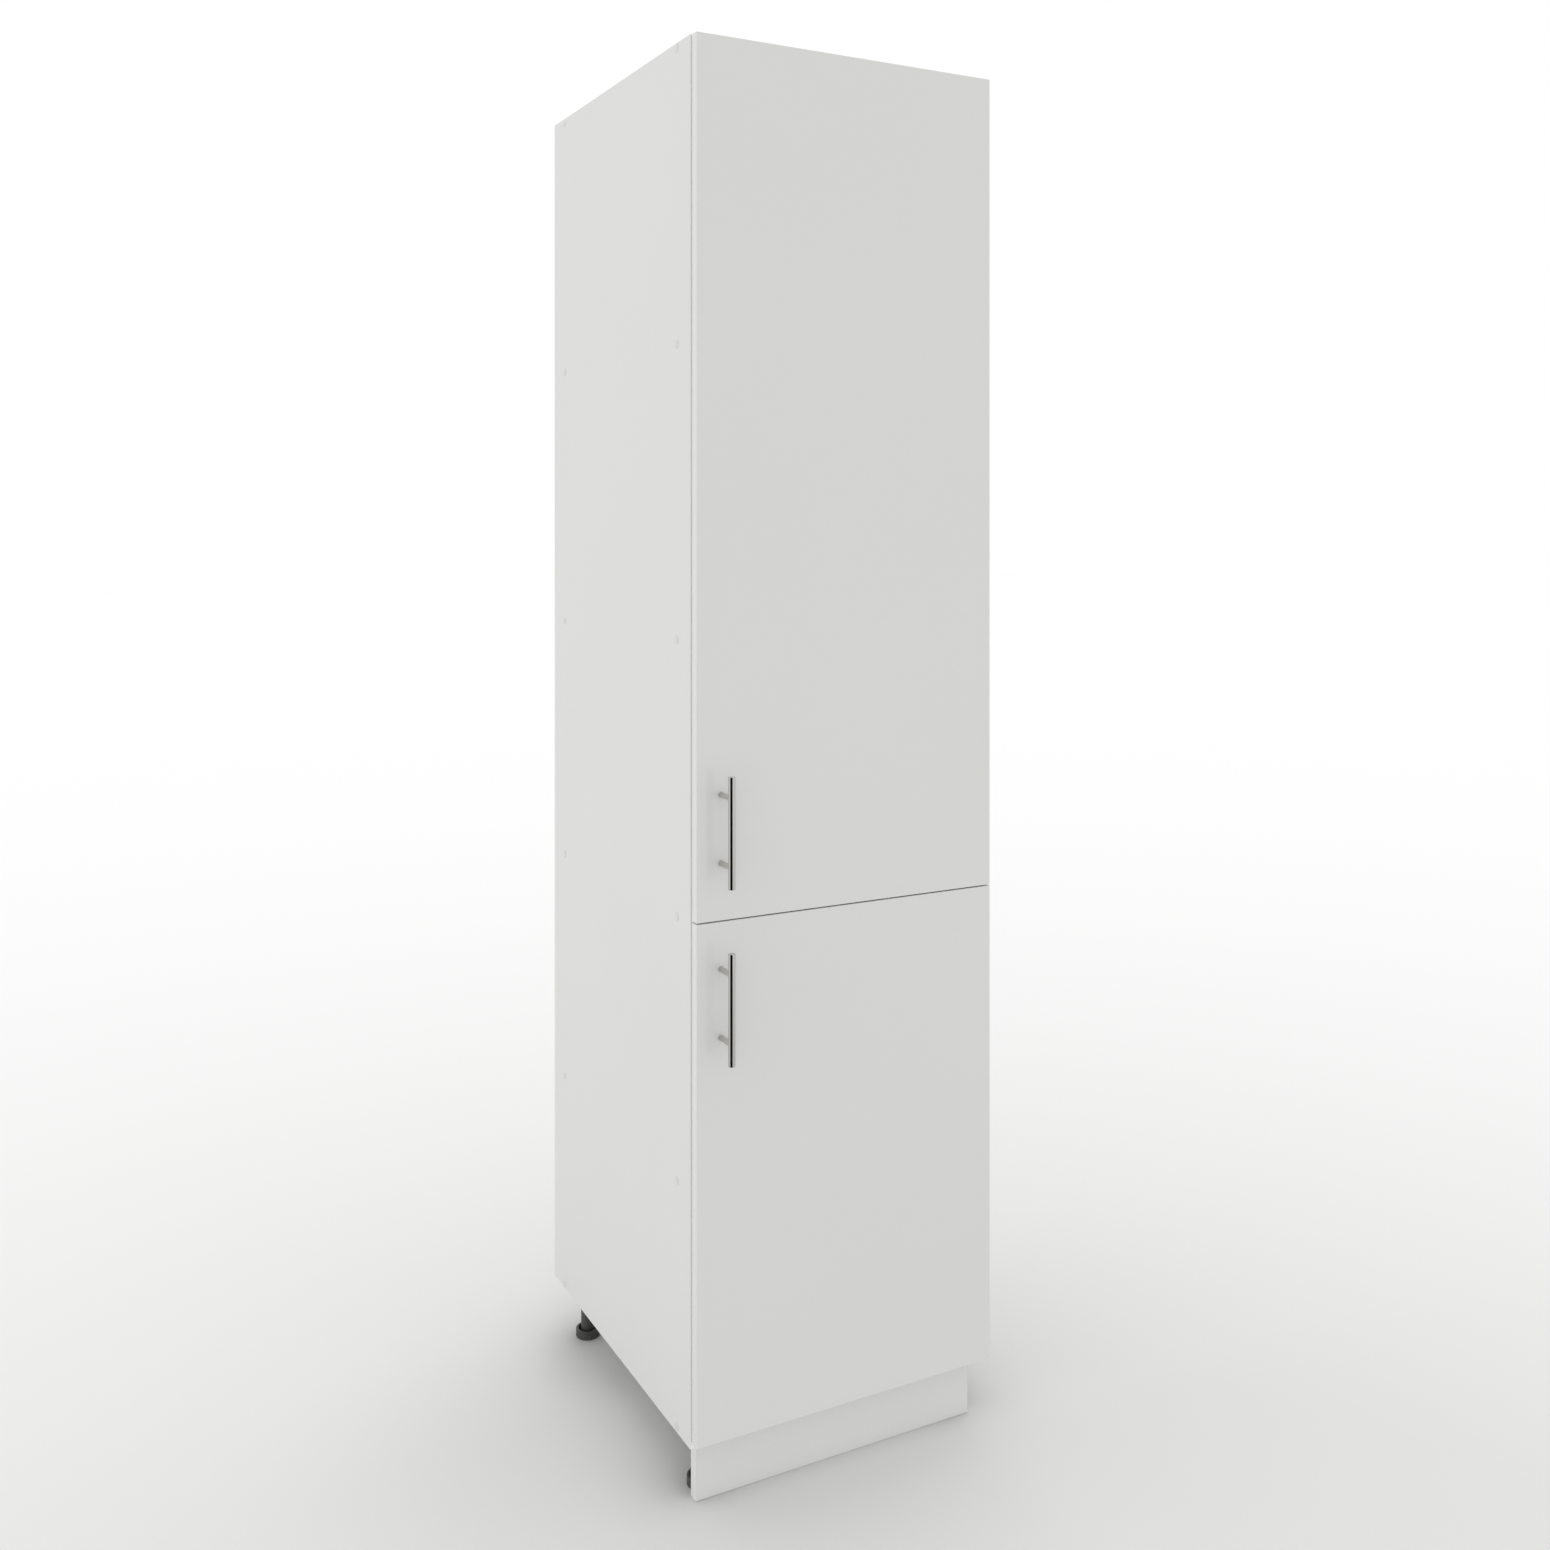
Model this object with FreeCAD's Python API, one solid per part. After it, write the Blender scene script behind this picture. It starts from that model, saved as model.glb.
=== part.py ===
import FreeCAD, Part
import math
import os

# Tall pantry cabinet: a board carcass on four adjustable legs, with two gloss doors one above the other,
# both hung on the right, and bar handles on the left.
# Millimetres. X runs to the right across the front, Y from the front to the back, Z up from the floor.
# The origin is on the floor under the middle of the overall box.

# Carcass sizes
unit_width = 500.0
carcass_depth = 560.0
carcass_height = 1980.0
board = 16.0
edge_radius = 1.0
shelf_setback = 20.0
lower_shelf_rise = 359.0
middle_shelf_rise = 735.5
upper_shelf_low_rise = 1130.0
upper_shelf_high_rise = 1550.5
back_thickness = 3.0
back_margin = 1.0

# Connecting screws through the sides into the ends of the boards
screw_from_front = 46.5
screw_from_rear = 50.0
screw_length = 50.0
screw_head_radius = 5.0
screw_head_depth = 3.0
screw_shank_radius = 3.5
screw_shank_length = 13.0
screw_core_radius = 2.5
screw_tip = 3.0
screw_clearance = 0.05

# Wall fixing brackets under the top board
bracket_inset = 74.0
bracket_width = 30.0
bracket_leg = 40.0
bracket_thickness = 2.0
bracket_bend_radius = 2.0
wall_hole_radius = 3.2
wall_hole_drop = 26.0
bracket_screw_offset = 24.0
bracket_screw_spacing = 15.0

# Small wood screws
wood_screw_radius = 1.75
wood_screw_head_radius = 3.5
wood_screw_head_height = 1.5
wood_screw_length = 11.0

# Legs and adjustable feet
leg_height = 90.0
leg_from_side = 42.0
leg_from_front_screws = 10.0
leg_from_rear_screws = 1.0
leg_plate_thickness = 3.5
leg_plate_margin = 3.5
leg_wall = 3.2
leg_flare = 2.0
leg_flare_height = 9.0
leg_crown = 8.0
leg_screw_room = 2.0
leg_screw_count = 3
foot_radius = 20.0
foot_height = 14.0
foot_chamfer = 1.0
foot_rim_width = 4.0
foot_recess_depth = 9.0
foot_stem_radius = 8.0
foot_stem_room = 12.0
foot_lift_room = 7.0
foot_clearance = 0.3

# Plinth board and the clips that hold it to the front legs
plinth_foot_gap = 1.0
plinth_floor_gap = 1.0
plinth_top_gap = 5.0
plinth_end_gap = 1.0
clip_above_foot = 20.0
clip_height = 20.0
clip_wall = 1.6
clip_base_thickness = 3.0
clip_base_overlap = 5.0
clip_base_margin = 0.5
clip_clearance = 0.3
clip_prong_reach = 3.0
clip_screw_room = 0.5

# Doors
door_thickness = 16.0
door_gap = 2.0
door_margin = 1.5
door_edge_radius = 1.5
door_hinge_edge_radius = 1.0
top_reveal = 1.0
bottom_margin = 9.0
door_split = 1.5
split_above_shelf = 2.25
bumper_radius = 4.0
bumper_clearance = 0.3
bumper_from_end = 30.0
bumper_crown = 0.8

# Bar handles
handle_from_edge = 37.0
handle_standoff = 35.0
handle_hole_spacing = 96.0
bar_radius = 5.0
bar_length = 156.0
bar_chamfer = 0.8
post_radius = 4.0
upper_handle_rise = 128.75
lower_handle_drop = 113.75
handle_screw_radius = 2.0
handle_screw_head_radius = 4.2
handle_screw_head_height = 2.2
handle_screw_grip = 18.0
handle_hole_clearance = 0.4
handle_fit = 0.05

# Concealed hinges: the pivots are set from the door's hinged edge and its inner face
hinge_from_end = 100.0
upper_hinge_count = 3
lower_hinge_count = 2
plate_from_front = 37.0
plate_length = 40.0
plate_round = 2.7
plate_side_gap = 0.3
plate_wing_half_height = 23.0
plate_wing_half_length = 7.0
plate_wing_flat = 0.7
plate_wing_thickness = 1.8
plate_screw_spacing = 32.0
plate_screw_radius = 2.5
plate_screw_head_radius = 4.5
plate_screw_head_height = 1.8
plate_screw_length = 13.0
arm_sheet = 1.2
arm_side_gap = 0.3
arm_rise = 10.0
arm_foot_gap = 2.2
arm_rear_overhang = 4.0
arm_shoulder = 34.0
arm_throat_edge = 27.5
arm_throat_behind = 9.0
arm_web_end = 17.0
nose_radius = 2.6
nose_gap = 0.4
nose_waist_behind = 2.0
arm_pivot_edge = 38.5
arm_pivot_behind = 11.0
nose_pivot_depth = 6.0
cup_pivot_edge = 11.5
cup_pivot_depth = 4.0
eye_gap = 0.35
loose_eye_shift_x = -0.1
loose_eye_shift_y = -0.76
loose_eye_play = 0.95
pin_radius = 1.0
pin_fit = 0.02
link_fit = 0.06
link_half_thickness = 0.9
link_eye_wall = 1.2
front_link_half_width = 5.4
front_link_rise = 3.6
rear_link_rise = 3.0
knuckle_width = 1.1
knuckle_gap = 0.5
fork_root_reach = 10.0
cup_from_edge = 4.0
cup_radius = 17.4
cup_depth = 12.4
cup_wall = 0.8
cup_clearance = 0.1
cup_lug_thickness = 1.2
cup_lug_margin = 2.6
flange_thickness = 1.0
flange_margin = 1.2
flange_edge_cut = 5.5
cup_screw_room = 6.6
cup_screw_offset = 6.0
cup_ear_radius = 5.5

# How near two places are taken as one
same_place = 1e-6

# Planes and heights that follow from the sizes above
handle_reach = handle_standoff + bar_radius
overall_depth = handle_reach + door_thickness + door_gap + carcass_depth + back_thickness
door_front_y = handle_reach - overall_depth / 2
door_back_y = door_front_y + door_thickness
carcass_front_y = door_back_y + door_gap
carcass_rear_y = carcass_front_y + carcass_depth
back_rear_y = carcass_rear_y + back_thickness
half_width = unit_width / 2
inner_half = half_width - board
bracket_x = inner_half - bracket_inset
carcass_top_z = leg_height + carcass_height
top_board_underside = carcass_top_z - board
door_left_x = door_margin - half_width
door_right_x = half_width - door_margin
lower_door_bottom_z = leg_height + bottom_margin
lower_door_top_z = leg_height + middle_shelf_rise + split_above_shelf
upper_door_bottom_z = lower_door_top_z + door_split
upper_door_top_z = carcass_top_z - top_reveal
front_screws_y = carcass_front_y + screw_from_front
rear_screws_y = carcass_rear_y - screw_from_rear

# Legs stand clear of the connecting screws, and the plinth follows the front legs
leg_tube_radius = foot_stem_radius + foot_clearance + leg_wall
leg_flare_radius = leg_tube_radius + leg_flare
leg_screw_circle = leg_flare_radius + wood_screw_head_radius + leg_screw_room
leg_plate_radius = leg_screw_circle + wood_screw_head_radius + leg_plate_margin
foot_recess_z = foot_height - foot_recess_depth
leg_tube_end = foot_recess_z + foot_lift_room
leg_bore_end = leg_height - leg_crown
foot_stem_top = leg_bore_end - foot_stem_room
leg_x = half_width - leg_from_side
leg_front_y = front_screws_y + leg_from_front_screws
leg_rear_y = rear_screws_y + leg_from_rear_screws
plinth_rear_y = leg_front_y - foot_radius - plinth_foot_gap
plinth_front_y = plinth_rear_y - board
clip_bottom = foot_height + clip_above_foot
clip_seat_radius = leg_tube_radius + clip_clearance
clip_outer_radius = clip_seat_radius + clip_wall
clip_screw_offset = clip_outer_radius + wood_screw_head_radius + clip_screw_room
clip_base_half_width = clip_screw_offset + wood_screw_head_radius + clip_base_margin

# Handles
handle_x = door_left_x + handle_from_edge
handle_y = door_front_y - handle_standoff
handle_centres = {
    "upper": upper_door_bottom_z + upper_handle_rise,
    "lower": lower_door_top_z - lower_handle_drop,
}

# Hinge widths and pivots, seen from above
arm_inner_half_width = front_link_half_width + arm_side_gap
arm_outer_half_width = arm_inner_half_width + arm_sheet
plate_half_width = arm_inner_half_width - plate_side_gap
knuckle_start = front_link_half_width - knuckle_width
rear_link_half_width = knuckle_start - knuckle_gap
lug_outer_half_width = arm_inner_half_width + cup_lug_thickness
link_eye_radius = pin_radius + link_eye_wall
loose_eye_radius = pin_radius + loose_eye_play + link_half_thickness
cup_x = door_right_x - cup_from_edge - cup_radius
cup_inner_radius = cup_radius - cup_wall
cup_screw_spacing = 2 * (cup_radius + cup_screw_room)
cup_half_chord = math.sqrt(cup_inner_radius ** 2 - arm_outer_half_width ** 2)
pivot_step = (link_eye_radius + pin_radius + eye_gap) / math.sqrt(2)
arm_pivot = (door_right_x - arm_pivot_edge, door_back_y + arm_pivot_behind)
nose_pivot = (cup_x - cup_half_chord + nose_gap + nose_radius, door_back_y - nose_pivot_depth)
cup_pivot = (door_right_x - cup_pivot_edge, door_back_y - cup_pivot_depth)
loose_pivot = (cup_pivot[0] - pivot_step, cup_pivot[1] - pivot_step)
loose_eye = (loose_pivot[0] + loose_eye_shift_x, loose_pivot[1] + loose_eye_shift_y)
arm_web_x = inner_half - arm_rise
plate_centre_y = carcass_front_y + plate_from_front
plate_rear_y = plate_centre_y + plate_length / 2

up = FreeCAD.Vector(0, 0, 1)
right = FreeCAD.Vector(1, 0, 0)
left = FreeCAD.Vector(-1, 0, 0)
back = FreeCAD.Vector(0, 1, 0)
front = FreeCAD.Vector(0, -1, 0)
origin = FreeCAD.Vector(0, 0, 0)


def point(x, y, z=0.0):
    return FreeCAD.Vector(x, y, z)


def block(x0, x1, y0, y1, z0, z1):
    return Part.makeBox(x1 - x0, y1 - y0, z1 - z0, point(x0, y0, z0))


def turned(profile, start, direction, clearance=0.0):
    # A solid of revolution: (radius, distance) points from the start along the direction.
    corners = [point(radius + clearance, 0, distance) if radius else point(0, 0, distance)
               for radius, distance in profile]
    wire = Part.makePolygon(corners + [corners[0]])
    solid = Part.Face(wire).revolve(origin, up, 360)
    solid.Placement = FreeCAD.Placement(start, FreeCAD.Rotation(up, direction))
    return solid


def prism(corners, z0, z1):
    # A straight-sided outline drawn from above, carried from one height to the other.
    points = [point(x, y, z0) for x, y in corners]
    return Part.Face(Part.makePolygon(points + [points[0]])).extrude(point(0, 0, z1 - z0))


def rod(radius, place, z0, z1):
    return Part.makeCylinder(radius, z1 - z0, point(place[0], place[1], z0), up)


def fuse_all(solids):
    return solids[0].multiFuse(solids[1:]).removeSplitter()


def edges_on_plane_y(solid, y):
    # The edges of the face that lies in the plane at this Y.
    return [edge for edge in solid.Edges
            if all(abs(vertex.Point.y - y) < same_place for vertex in edge.Vertexes)]


def edges_centred(solid, axes, places):
    # The edges whose middle has these places on these axes.
    return [edge for edge in solid.Edges
            if all(abs(getattr(edge.CenterOfMass, axis) - place) < same_place
                   for axis, place in zip(axes, places))]


def save(name, shapes):
    shape = shapes[0] if len(shapes) == 1 else Part.makeCompound(shapes)
    shape.exportStep("parts/" + name + ".step")


# Carcass: two sides, and boards screwed between them

screw_profile = [(0, 0), (screw_head_radius, 0), (screw_shank_radius, screw_head_depth),
                 (screw_shank_radius, screw_shank_length), (screw_core_radius, screw_shank_length),
                 (screw_core_radius, screw_length - screw_tip), (0, screw_length)]
board_rises = {
    "bottom_panel": board / 2,
    "lower_shelf": lower_shelf_rise,
    "middle_shelf": middle_shelf_rise,
    "upper_shelf_low": upper_shelf_low_rise,
    "upper_shelf_high": upper_shelf_high_rise,
    "top_panel": carcass_height - board / 2,
}
set_back_boards = ("lower_shelf", "upper_shelf_low", "upper_shelf_high")


def carcass_screws(side, rise, clearance=0.0):
    # The two screws, front and rear, that go through one side into one board.
    inward = left if side > 0 else right
    return [turned(screw_profile, point(side * half_width, y, leg_height + rise), inward, clearance)
            for y in (front_screws_y, rear_screws_y)]


def wood_screw(start, direction):
    # A small screw whose head stands on the surface at the start.
    profile = [(0, -wood_screw_head_height), (wood_screw_head_radius, -wood_screw_head_height),
               (wood_screw_head_radius, 0), (wood_screw_radius, 0),
               (wood_screw_radius, wood_screw_length - wood_screw_radius), (0, wood_screw_length)]
    return turned(profile, start, direction)


def wood_screw_hole(start, direction):
    radius = wood_screw_radius + screw_clearance
    return Part.makeCylinder(radius, wood_screw_length + screw_clearance, start, direction)


def plate_screw(place):
    # A plate screw lies along X, with its head on the plate's wing and its thread in the side.
    profile = [(0, -plate_screw_head_height), (plate_screw_head_radius, -plate_screw_head_height),
               (plate_screw_head_radius, 0), (plate_screw_radius, 0),
               (plate_screw_radius, plate_screw_length - plate_screw_radius), (0, plate_screw_length)]
    return turned(profile, point(inner_half - plate_wing_thickness, place[0], place[1]), right)


def hinge_heights(bottom_z, top_z, count):
    lowest = bottom_z + hinge_from_end
    step = (top_z - bottom_z - 2 * hinge_from_end) / (count - 1)
    return [lowest + step * index for index in range(count)]


door_spans = {
    "upper": (upper_door_bottom_z, upper_door_top_z),
    "lower": (lower_door_bottom_z, lower_door_top_z),
}
door_hinges = {
    "upper": hinge_heights(upper_door_bottom_z, upper_door_top_z, upper_hinge_count),
    "lower": hinge_heights(lower_door_bottom_z, lower_door_top_z, lower_hinge_count),
}
all_hinge_heights = door_hinges["upper"] + door_hinges["lower"]


def plate_screw_places(z):
    return [(plate_centre_y, z + sign * plate_screw_spacing / 2) for sign in (-1, 1)]


def side_panel(side):
    x0 = -half_width if side < 0 else inner_half
    panel = block(x0, x0 + board, carcass_front_y, carcass_rear_y, leg_height, carcass_top_z)
    panel = panel.makeFillet(edge_radius, edges_on_plane_y(panel, carcass_front_y))
    holes = []
    for rise in board_rises.values():
        holes += carcass_screws(side, rise, screw_clearance)
    if side > 0:
        for z in all_hinge_heights:
            for y, screw_z in plate_screw_places(z):
                depth = plate_screw_length - plate_wing_thickness + screw_clearance
                holes.append(Part.makeCylinder(plate_screw_radius + screw_clearance, depth,
                                               point(inner_half, y, screw_z), right))
    return panel.cut(holes)


bracket_places = (-bracket_x, bracket_x)


def bracket_screw_places(x):
    return [point(x + sign * bracket_screw_spacing / 2, carcass_rear_y - bracket_screw_offset,
                  top_board_underside - bracket_thickness) for sign in (-1, 1)]


leg_places = {
    "front_left": (-leg_x, leg_front_y),
    "front_right": (leg_x, leg_front_y),
    "rear_left": (-leg_x, leg_rear_y),
    "rear_right": (leg_x, leg_rear_y),
}


def leg_screw_places(place):
    # Points under the leg's plate, evenly round the leg, the first one towards the middle of the unit.
    inward = -math.copysign(leg_screw_circle, place[0])
    turns = [2 * math.pi * index / leg_screw_count for index in range(leg_screw_count)]
    return [point(place[0] + inward * math.cos(turn), place[1] + leg_screw_circle * math.sin(turn),
                  leg_height - leg_plate_thickness) for turn in turns]


def cross_board(name):
    rise = board_rises[name]
    setback = shelf_setback if name in set_back_boards else 0.0
    z0 = leg_height + rise - board / 2
    panel = block(-inner_half, inner_half, carcass_front_y + setback, carcass_rear_y, z0, z0 + board)
    front_edges = edges_on_plane_y(panel, carcass_front_y + setback)
    long_edges = [edge for edge in front_edges if edge.Length > board]
    panel = panel.makeFillet(edge_radius, long_edges)
    holes = carcass_screws(-1, rise, screw_clearance) + carcass_screws(1, rise, screw_clearance)
    if name == "bottom_panel":
        for place in leg_places.values():
            holes += [wood_screw_hole(start, up) for start in leg_screw_places(place)]
    if name == "top_panel":
        for x in bracket_places:
            holes += [wood_screw_hole(start, up) for start in bracket_screw_places(x)]
    return panel.cut(holes)


def wall_hole(x):
    z = top_board_underside - wall_hole_drop
    length = back_thickness + bracket_thickness
    return Part.makeCylinder(wall_hole_radius, length, point(x, carcass_rear_y - bracket_thickness, z), back)


def back_panel():
    sheet = block(back_margin - half_width, half_width - back_margin, carcass_rear_y, back_rear_y,
                  leg_height + back_margin, carcass_top_z - back_margin)
    return sheet.cut([wall_hole(x) for x in bracket_places])


def wall_bracket(x):
    # An angle bent from steel strip: one leg under the top board, the other against the back sheet.
    x0 = x - bracket_width / 2
    x1 = x + bracket_width / 2
    y0 = carcass_rear_y - bracket_leg
    z0 = top_board_underside - bracket_leg
    inner_y = carcass_rear_y - bracket_thickness
    inner_z = top_board_underside - bracket_thickness
    angle = block(x0, x1, y0, carcass_rear_y, z0, top_board_underside)
    angle = angle.cut(block(x0, x1, y0, inner_y, z0, inner_z))
    outer_bend = edges_centred(angle, "yz", (carcass_rear_y, top_board_underside))
    inner_bend = edges_centred(angle, "yz", (inner_y, inner_z))
    angle = angle.makeFillet(bracket_bend_radius, outer_bend + inner_bend)
    holes = [wall_hole(x)]
    holes += [wood_screw_hole(start, up) for start in bracket_screw_places(x)]
    return angle.cut(holes)


# Legs, feet and plinth

def leg(place):
    # A moulded leg: round plate under the carcass, flare, and a tube that is open below for the foot's stem.
    bore_radius = foot_stem_radius + foot_clearance
    plate_under = leg_height - leg_plate_thickness
    profile = [(bore_radius, leg_tube_end), (leg_tube_radius, leg_tube_end),
               (leg_tube_radius, plate_under - leg_flare_height), (leg_flare_radius, plate_under),
               (leg_plate_radius, plate_under), (leg_plate_radius, leg_height), (0, leg_height),
               (0, leg_bore_end), (bore_radius, leg_bore_end)]
    body = turned(profile, point(place[0], place[1]), up)
    return body.cut([wood_screw_hole(start, up) for start in leg_screw_places(place)])


def foot(place):
    # A round foot whose raised rim stands round the end of the leg, and the stem that screws into the leg.
    rim_radius = foot_radius - foot_rim_width
    profile = [(0, 0), (foot_radius - foot_chamfer, 0), (foot_radius, foot_chamfer),
               (foot_radius, foot_height), (rim_radius, foot_height), (rim_radius, foot_recess_z),
               (foot_stem_radius, foot_recess_z), (foot_stem_radius, foot_stem_top), (0, foot_stem_top)]
    return turned(profile, point(place[0], place[1]), up)


def clip_screw_places(x):
    z = clip_bottom + clip_height / 2
    return [point(x + sign * clip_screw_offset, plinth_rear_y + clip_base_thickness, z) for sign in (-1, 1)]


def plinth_board():
    half_length = inner_half - plinth_end_gap
    panel = block(-half_length, half_length, plinth_front_y, plinth_rear_y,
                  plinth_floor_gap, leg_height - plinth_top_gap)
    panel = panel.makeFillet(edge_radius, edges_on_plane_y(panel, plinth_front_y))
    holes = []
    for x in (-leg_x, leg_x):
        holes += [wood_screw_hole(start, front) for start in clip_screw_places(x)]
    return panel.cut(holes)


def plinth_clip(x):
    # A plate on the back of the plinth with a fork whose straight prongs pass either side of the leg.
    z1 = clip_bottom + clip_height
    place = (x, leg_front_y)
    pocket_y = plinth_rear_y + clip_base_thickness
    prong_end = leg_front_y + clip_prong_reach
    base = block(x - clip_base_half_width, x + clip_base_half_width, plinth_rear_y, pocket_y,
                 clip_bottom - clip_base_overlap, z1 + clip_base_overlap)
    neck = block(x - clip_outer_radius, x + clip_outer_radius, plinth_rear_y, prong_end, clip_bottom, z1)
    slot = block(x - clip_seat_radius, x + clip_seat_radius, leg_front_y, prong_end, clip_bottom, z1)
    hollow = block(x - clip_seat_radius, x + clip_seat_radius, pocket_y, leg_front_y, clip_bottom, z1)
    hollow = hollow.cut(rod(clip_outer_radius, place, clip_bottom, z1))
    fork = neck.cut([slot, rod(clip_seat_radius, place, clip_bottom, z1), hollow])
    clip = fuse_all([base, fork])
    return clip.cut([wood_screw_hole(start, front) for start in clip_screw_places(x)])


# Doors and handles

def cup_screw_places(z):
    x = cup_x - cup_screw_offset
    return [point(x, door_back_y + flange_thickness, z + sign * cup_screw_spacing / 2) for sign in (-1, 1)]


def handle_hole_heights(door):
    return [handle_centres[door] + sign * handle_hole_spacing / 2 for sign in (-1, 1)]


def door_panel(door):
    # The inner edge on the hinged side is eased too: it swings past the carcass as the door opens.
    bottom_z, top_z = door_spans[door]
    panel = block(door_left_x, door_right_x, door_front_y, door_back_y, bottom_z, top_z)
    panel = panel.makeFillet(door_edge_radius, edges_on_plane_y(panel, door_front_y))
    panel = panel.makeFillet(door_hinge_edge_radius, edges_centred(panel, "xy", (door_right_x, door_back_y)))
    holes = []
    for z in door_hinges[door]:
        mouth = point(cup_x, door_back_y, z)
        holes.append(Part.makeCylinder(cup_radius + cup_clearance, cup_depth + cup_clearance, mouth, front))
        holes += [wood_screw_hole(start, front) for start in cup_screw_places(z)]
    for z in handle_hole_heights(door):
        radius = handle_screw_radius + handle_hole_clearance
        holes.append(Part.makeCylinder(radius, door_thickness, point(handle_x, door_front_y, z), back))
    return panel.cut(holes)


def handle_bar(door):
    profile = [(0, 0), (bar_radius - bar_chamfer, 0), (bar_radius, bar_chamfer),
               (bar_radius, bar_length - bar_chamfer), (bar_radius - bar_chamfer, bar_length),
               (0, bar_length)]
    return turned(profile, point(handle_x, handle_y, handle_centres[door] - bar_length / 2), up)


def handle_post(z):
    # A round post from the door to the bar, hollowed to the bar's curve and drilled for its screw.
    post = Part.makeCylinder(post_radius, handle_standoff, point(handle_x, handle_y, z), back)
    saddle = rod(bar_radius + handle_fit, (handle_x, handle_y), z - bar_radius, z + bar_radius)
    bore = Part.makeCylinder(handle_screw_radius + handle_fit, handle_screw_grip + handle_fit,
                             point(handle_x, door_front_y, z), front)
    return post.cut([saddle, bore])


def handle_screw(z):
    length = door_thickness + handle_screw_grip
    profile = [(0, -handle_screw_head_height), (handle_screw_head_radius, -handle_screw_head_height),
               (handle_screw_head_radius, 0), (handle_screw_radius, 0), (handle_screw_radius, length),
               (0, length)]
    return turned(profile, point(handle_x, door_back_y, z), front)


def door_bumper(z):
    # A soft dot on the door's inner face that meets the front edge of the left side.
    height = door_gap - bumper_clearance
    profile = [(0, 0), (bumper_radius, 0), (bumper_radius, height - bumper_crown),
               (bumper_radius - bumper_crown, height), (0, height)]
    return turned(profile, point(board / 2 - half_width, door_back_y, z), back)


# Concealed hinges: plate and arm on the side, cup in the door, and two links between them

def hinge_plate(z):
    # A body that the arm sits over, and a thin wing each way for the two screws.
    y0 = plate_centre_y - plate_length / 2
    x0 = arm_web_x + arm_sheet
    body = block(x0, inner_half, y0, plate_rear_y, z - plate_half_width, z + plate_half_width)
    body = body.makeFillet(plate_round, edges_centred(body, "xz", (x0, z)))
    wing_x = inner_half - plate_wing_thickness
    wing = block(wing_x, inner_half,
                 plate_centre_y - plate_wing_half_length, plate_centre_y + plate_wing_half_length,
                 z - plate_wing_half_height, z + plate_wing_half_height)
    corners = edges_centred(wing, "x", (inner_half - plate_wing_thickness / 2,))
    wing = wing.makeFillet(plate_wing_half_length - plate_wing_flat, corners)
    holes = [Part.makeCylinder(plate_screw_radius + screw_clearance, plate_wing_thickness,
                               point(wing_x, y, screw_z), right)
             for y, screw_z in plate_screw_places(z)]
    return fuse_all([body, wing]).cut(holes)


def hinge_arm(z):
    # A channel pressed from sheet: two cheeks that hold the pins at the nose, and a web over the plate.
    rear_y = plate_rear_y + arm_rear_overhang
    foot_x = inner_half - arm_foot_gap
    shoulder_y = door_back_y + arm_shoulder
    outline = [
        (foot_x, rear_y), (arm_web_x, rear_y), (arm_web_x, shoulder_y),
        (arm_pivot[0] - nose_radius, arm_pivot[1]),
        (nose_pivot[0] - nose_radius, door_back_y + nose_waist_behind),
        (nose_pivot[0] - nose_radius, nose_pivot[1]), (nose_pivot[0] + nose_radius, nose_pivot[1]),
        (door_right_x - arm_throat_edge, door_back_y + arm_throat_behind), (foot_x, shoulder_y),
    ]
    z0 = z - arm_outer_half_width
    z1 = z + arm_outer_half_width
    pivots = (arm_pivot, nose_pivot)
    cheeks = fuse_all([prism(outline, z0, z1)] + [rod(nose_radius, place, z0, z1) for place in pivots])
    inner_z0 = z - arm_inner_half_width
    inner_z1 = z + arm_inner_half_width
    inside = prism([(x + arm_sheet, y) for x, y in outline], inner_z0, inner_z1)
    inside_rear = block(arm_web_x + arm_sheet, inner_half, shoulder_y, rear_y, inner_z0, inner_z1)
    nose_space = block(arm_pivot[0] - arm_rise, inner_half,
                       nose_pivot[1] - arm_rise, door_back_y + arm_web_end, inner_z0, inner_z1)
    holes = [rod(pin_radius + pin_fit, place, z0, z1) for place in pivots]
    return cheeks.cut([inside, inside_rear, nose_space] + holes)


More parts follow.
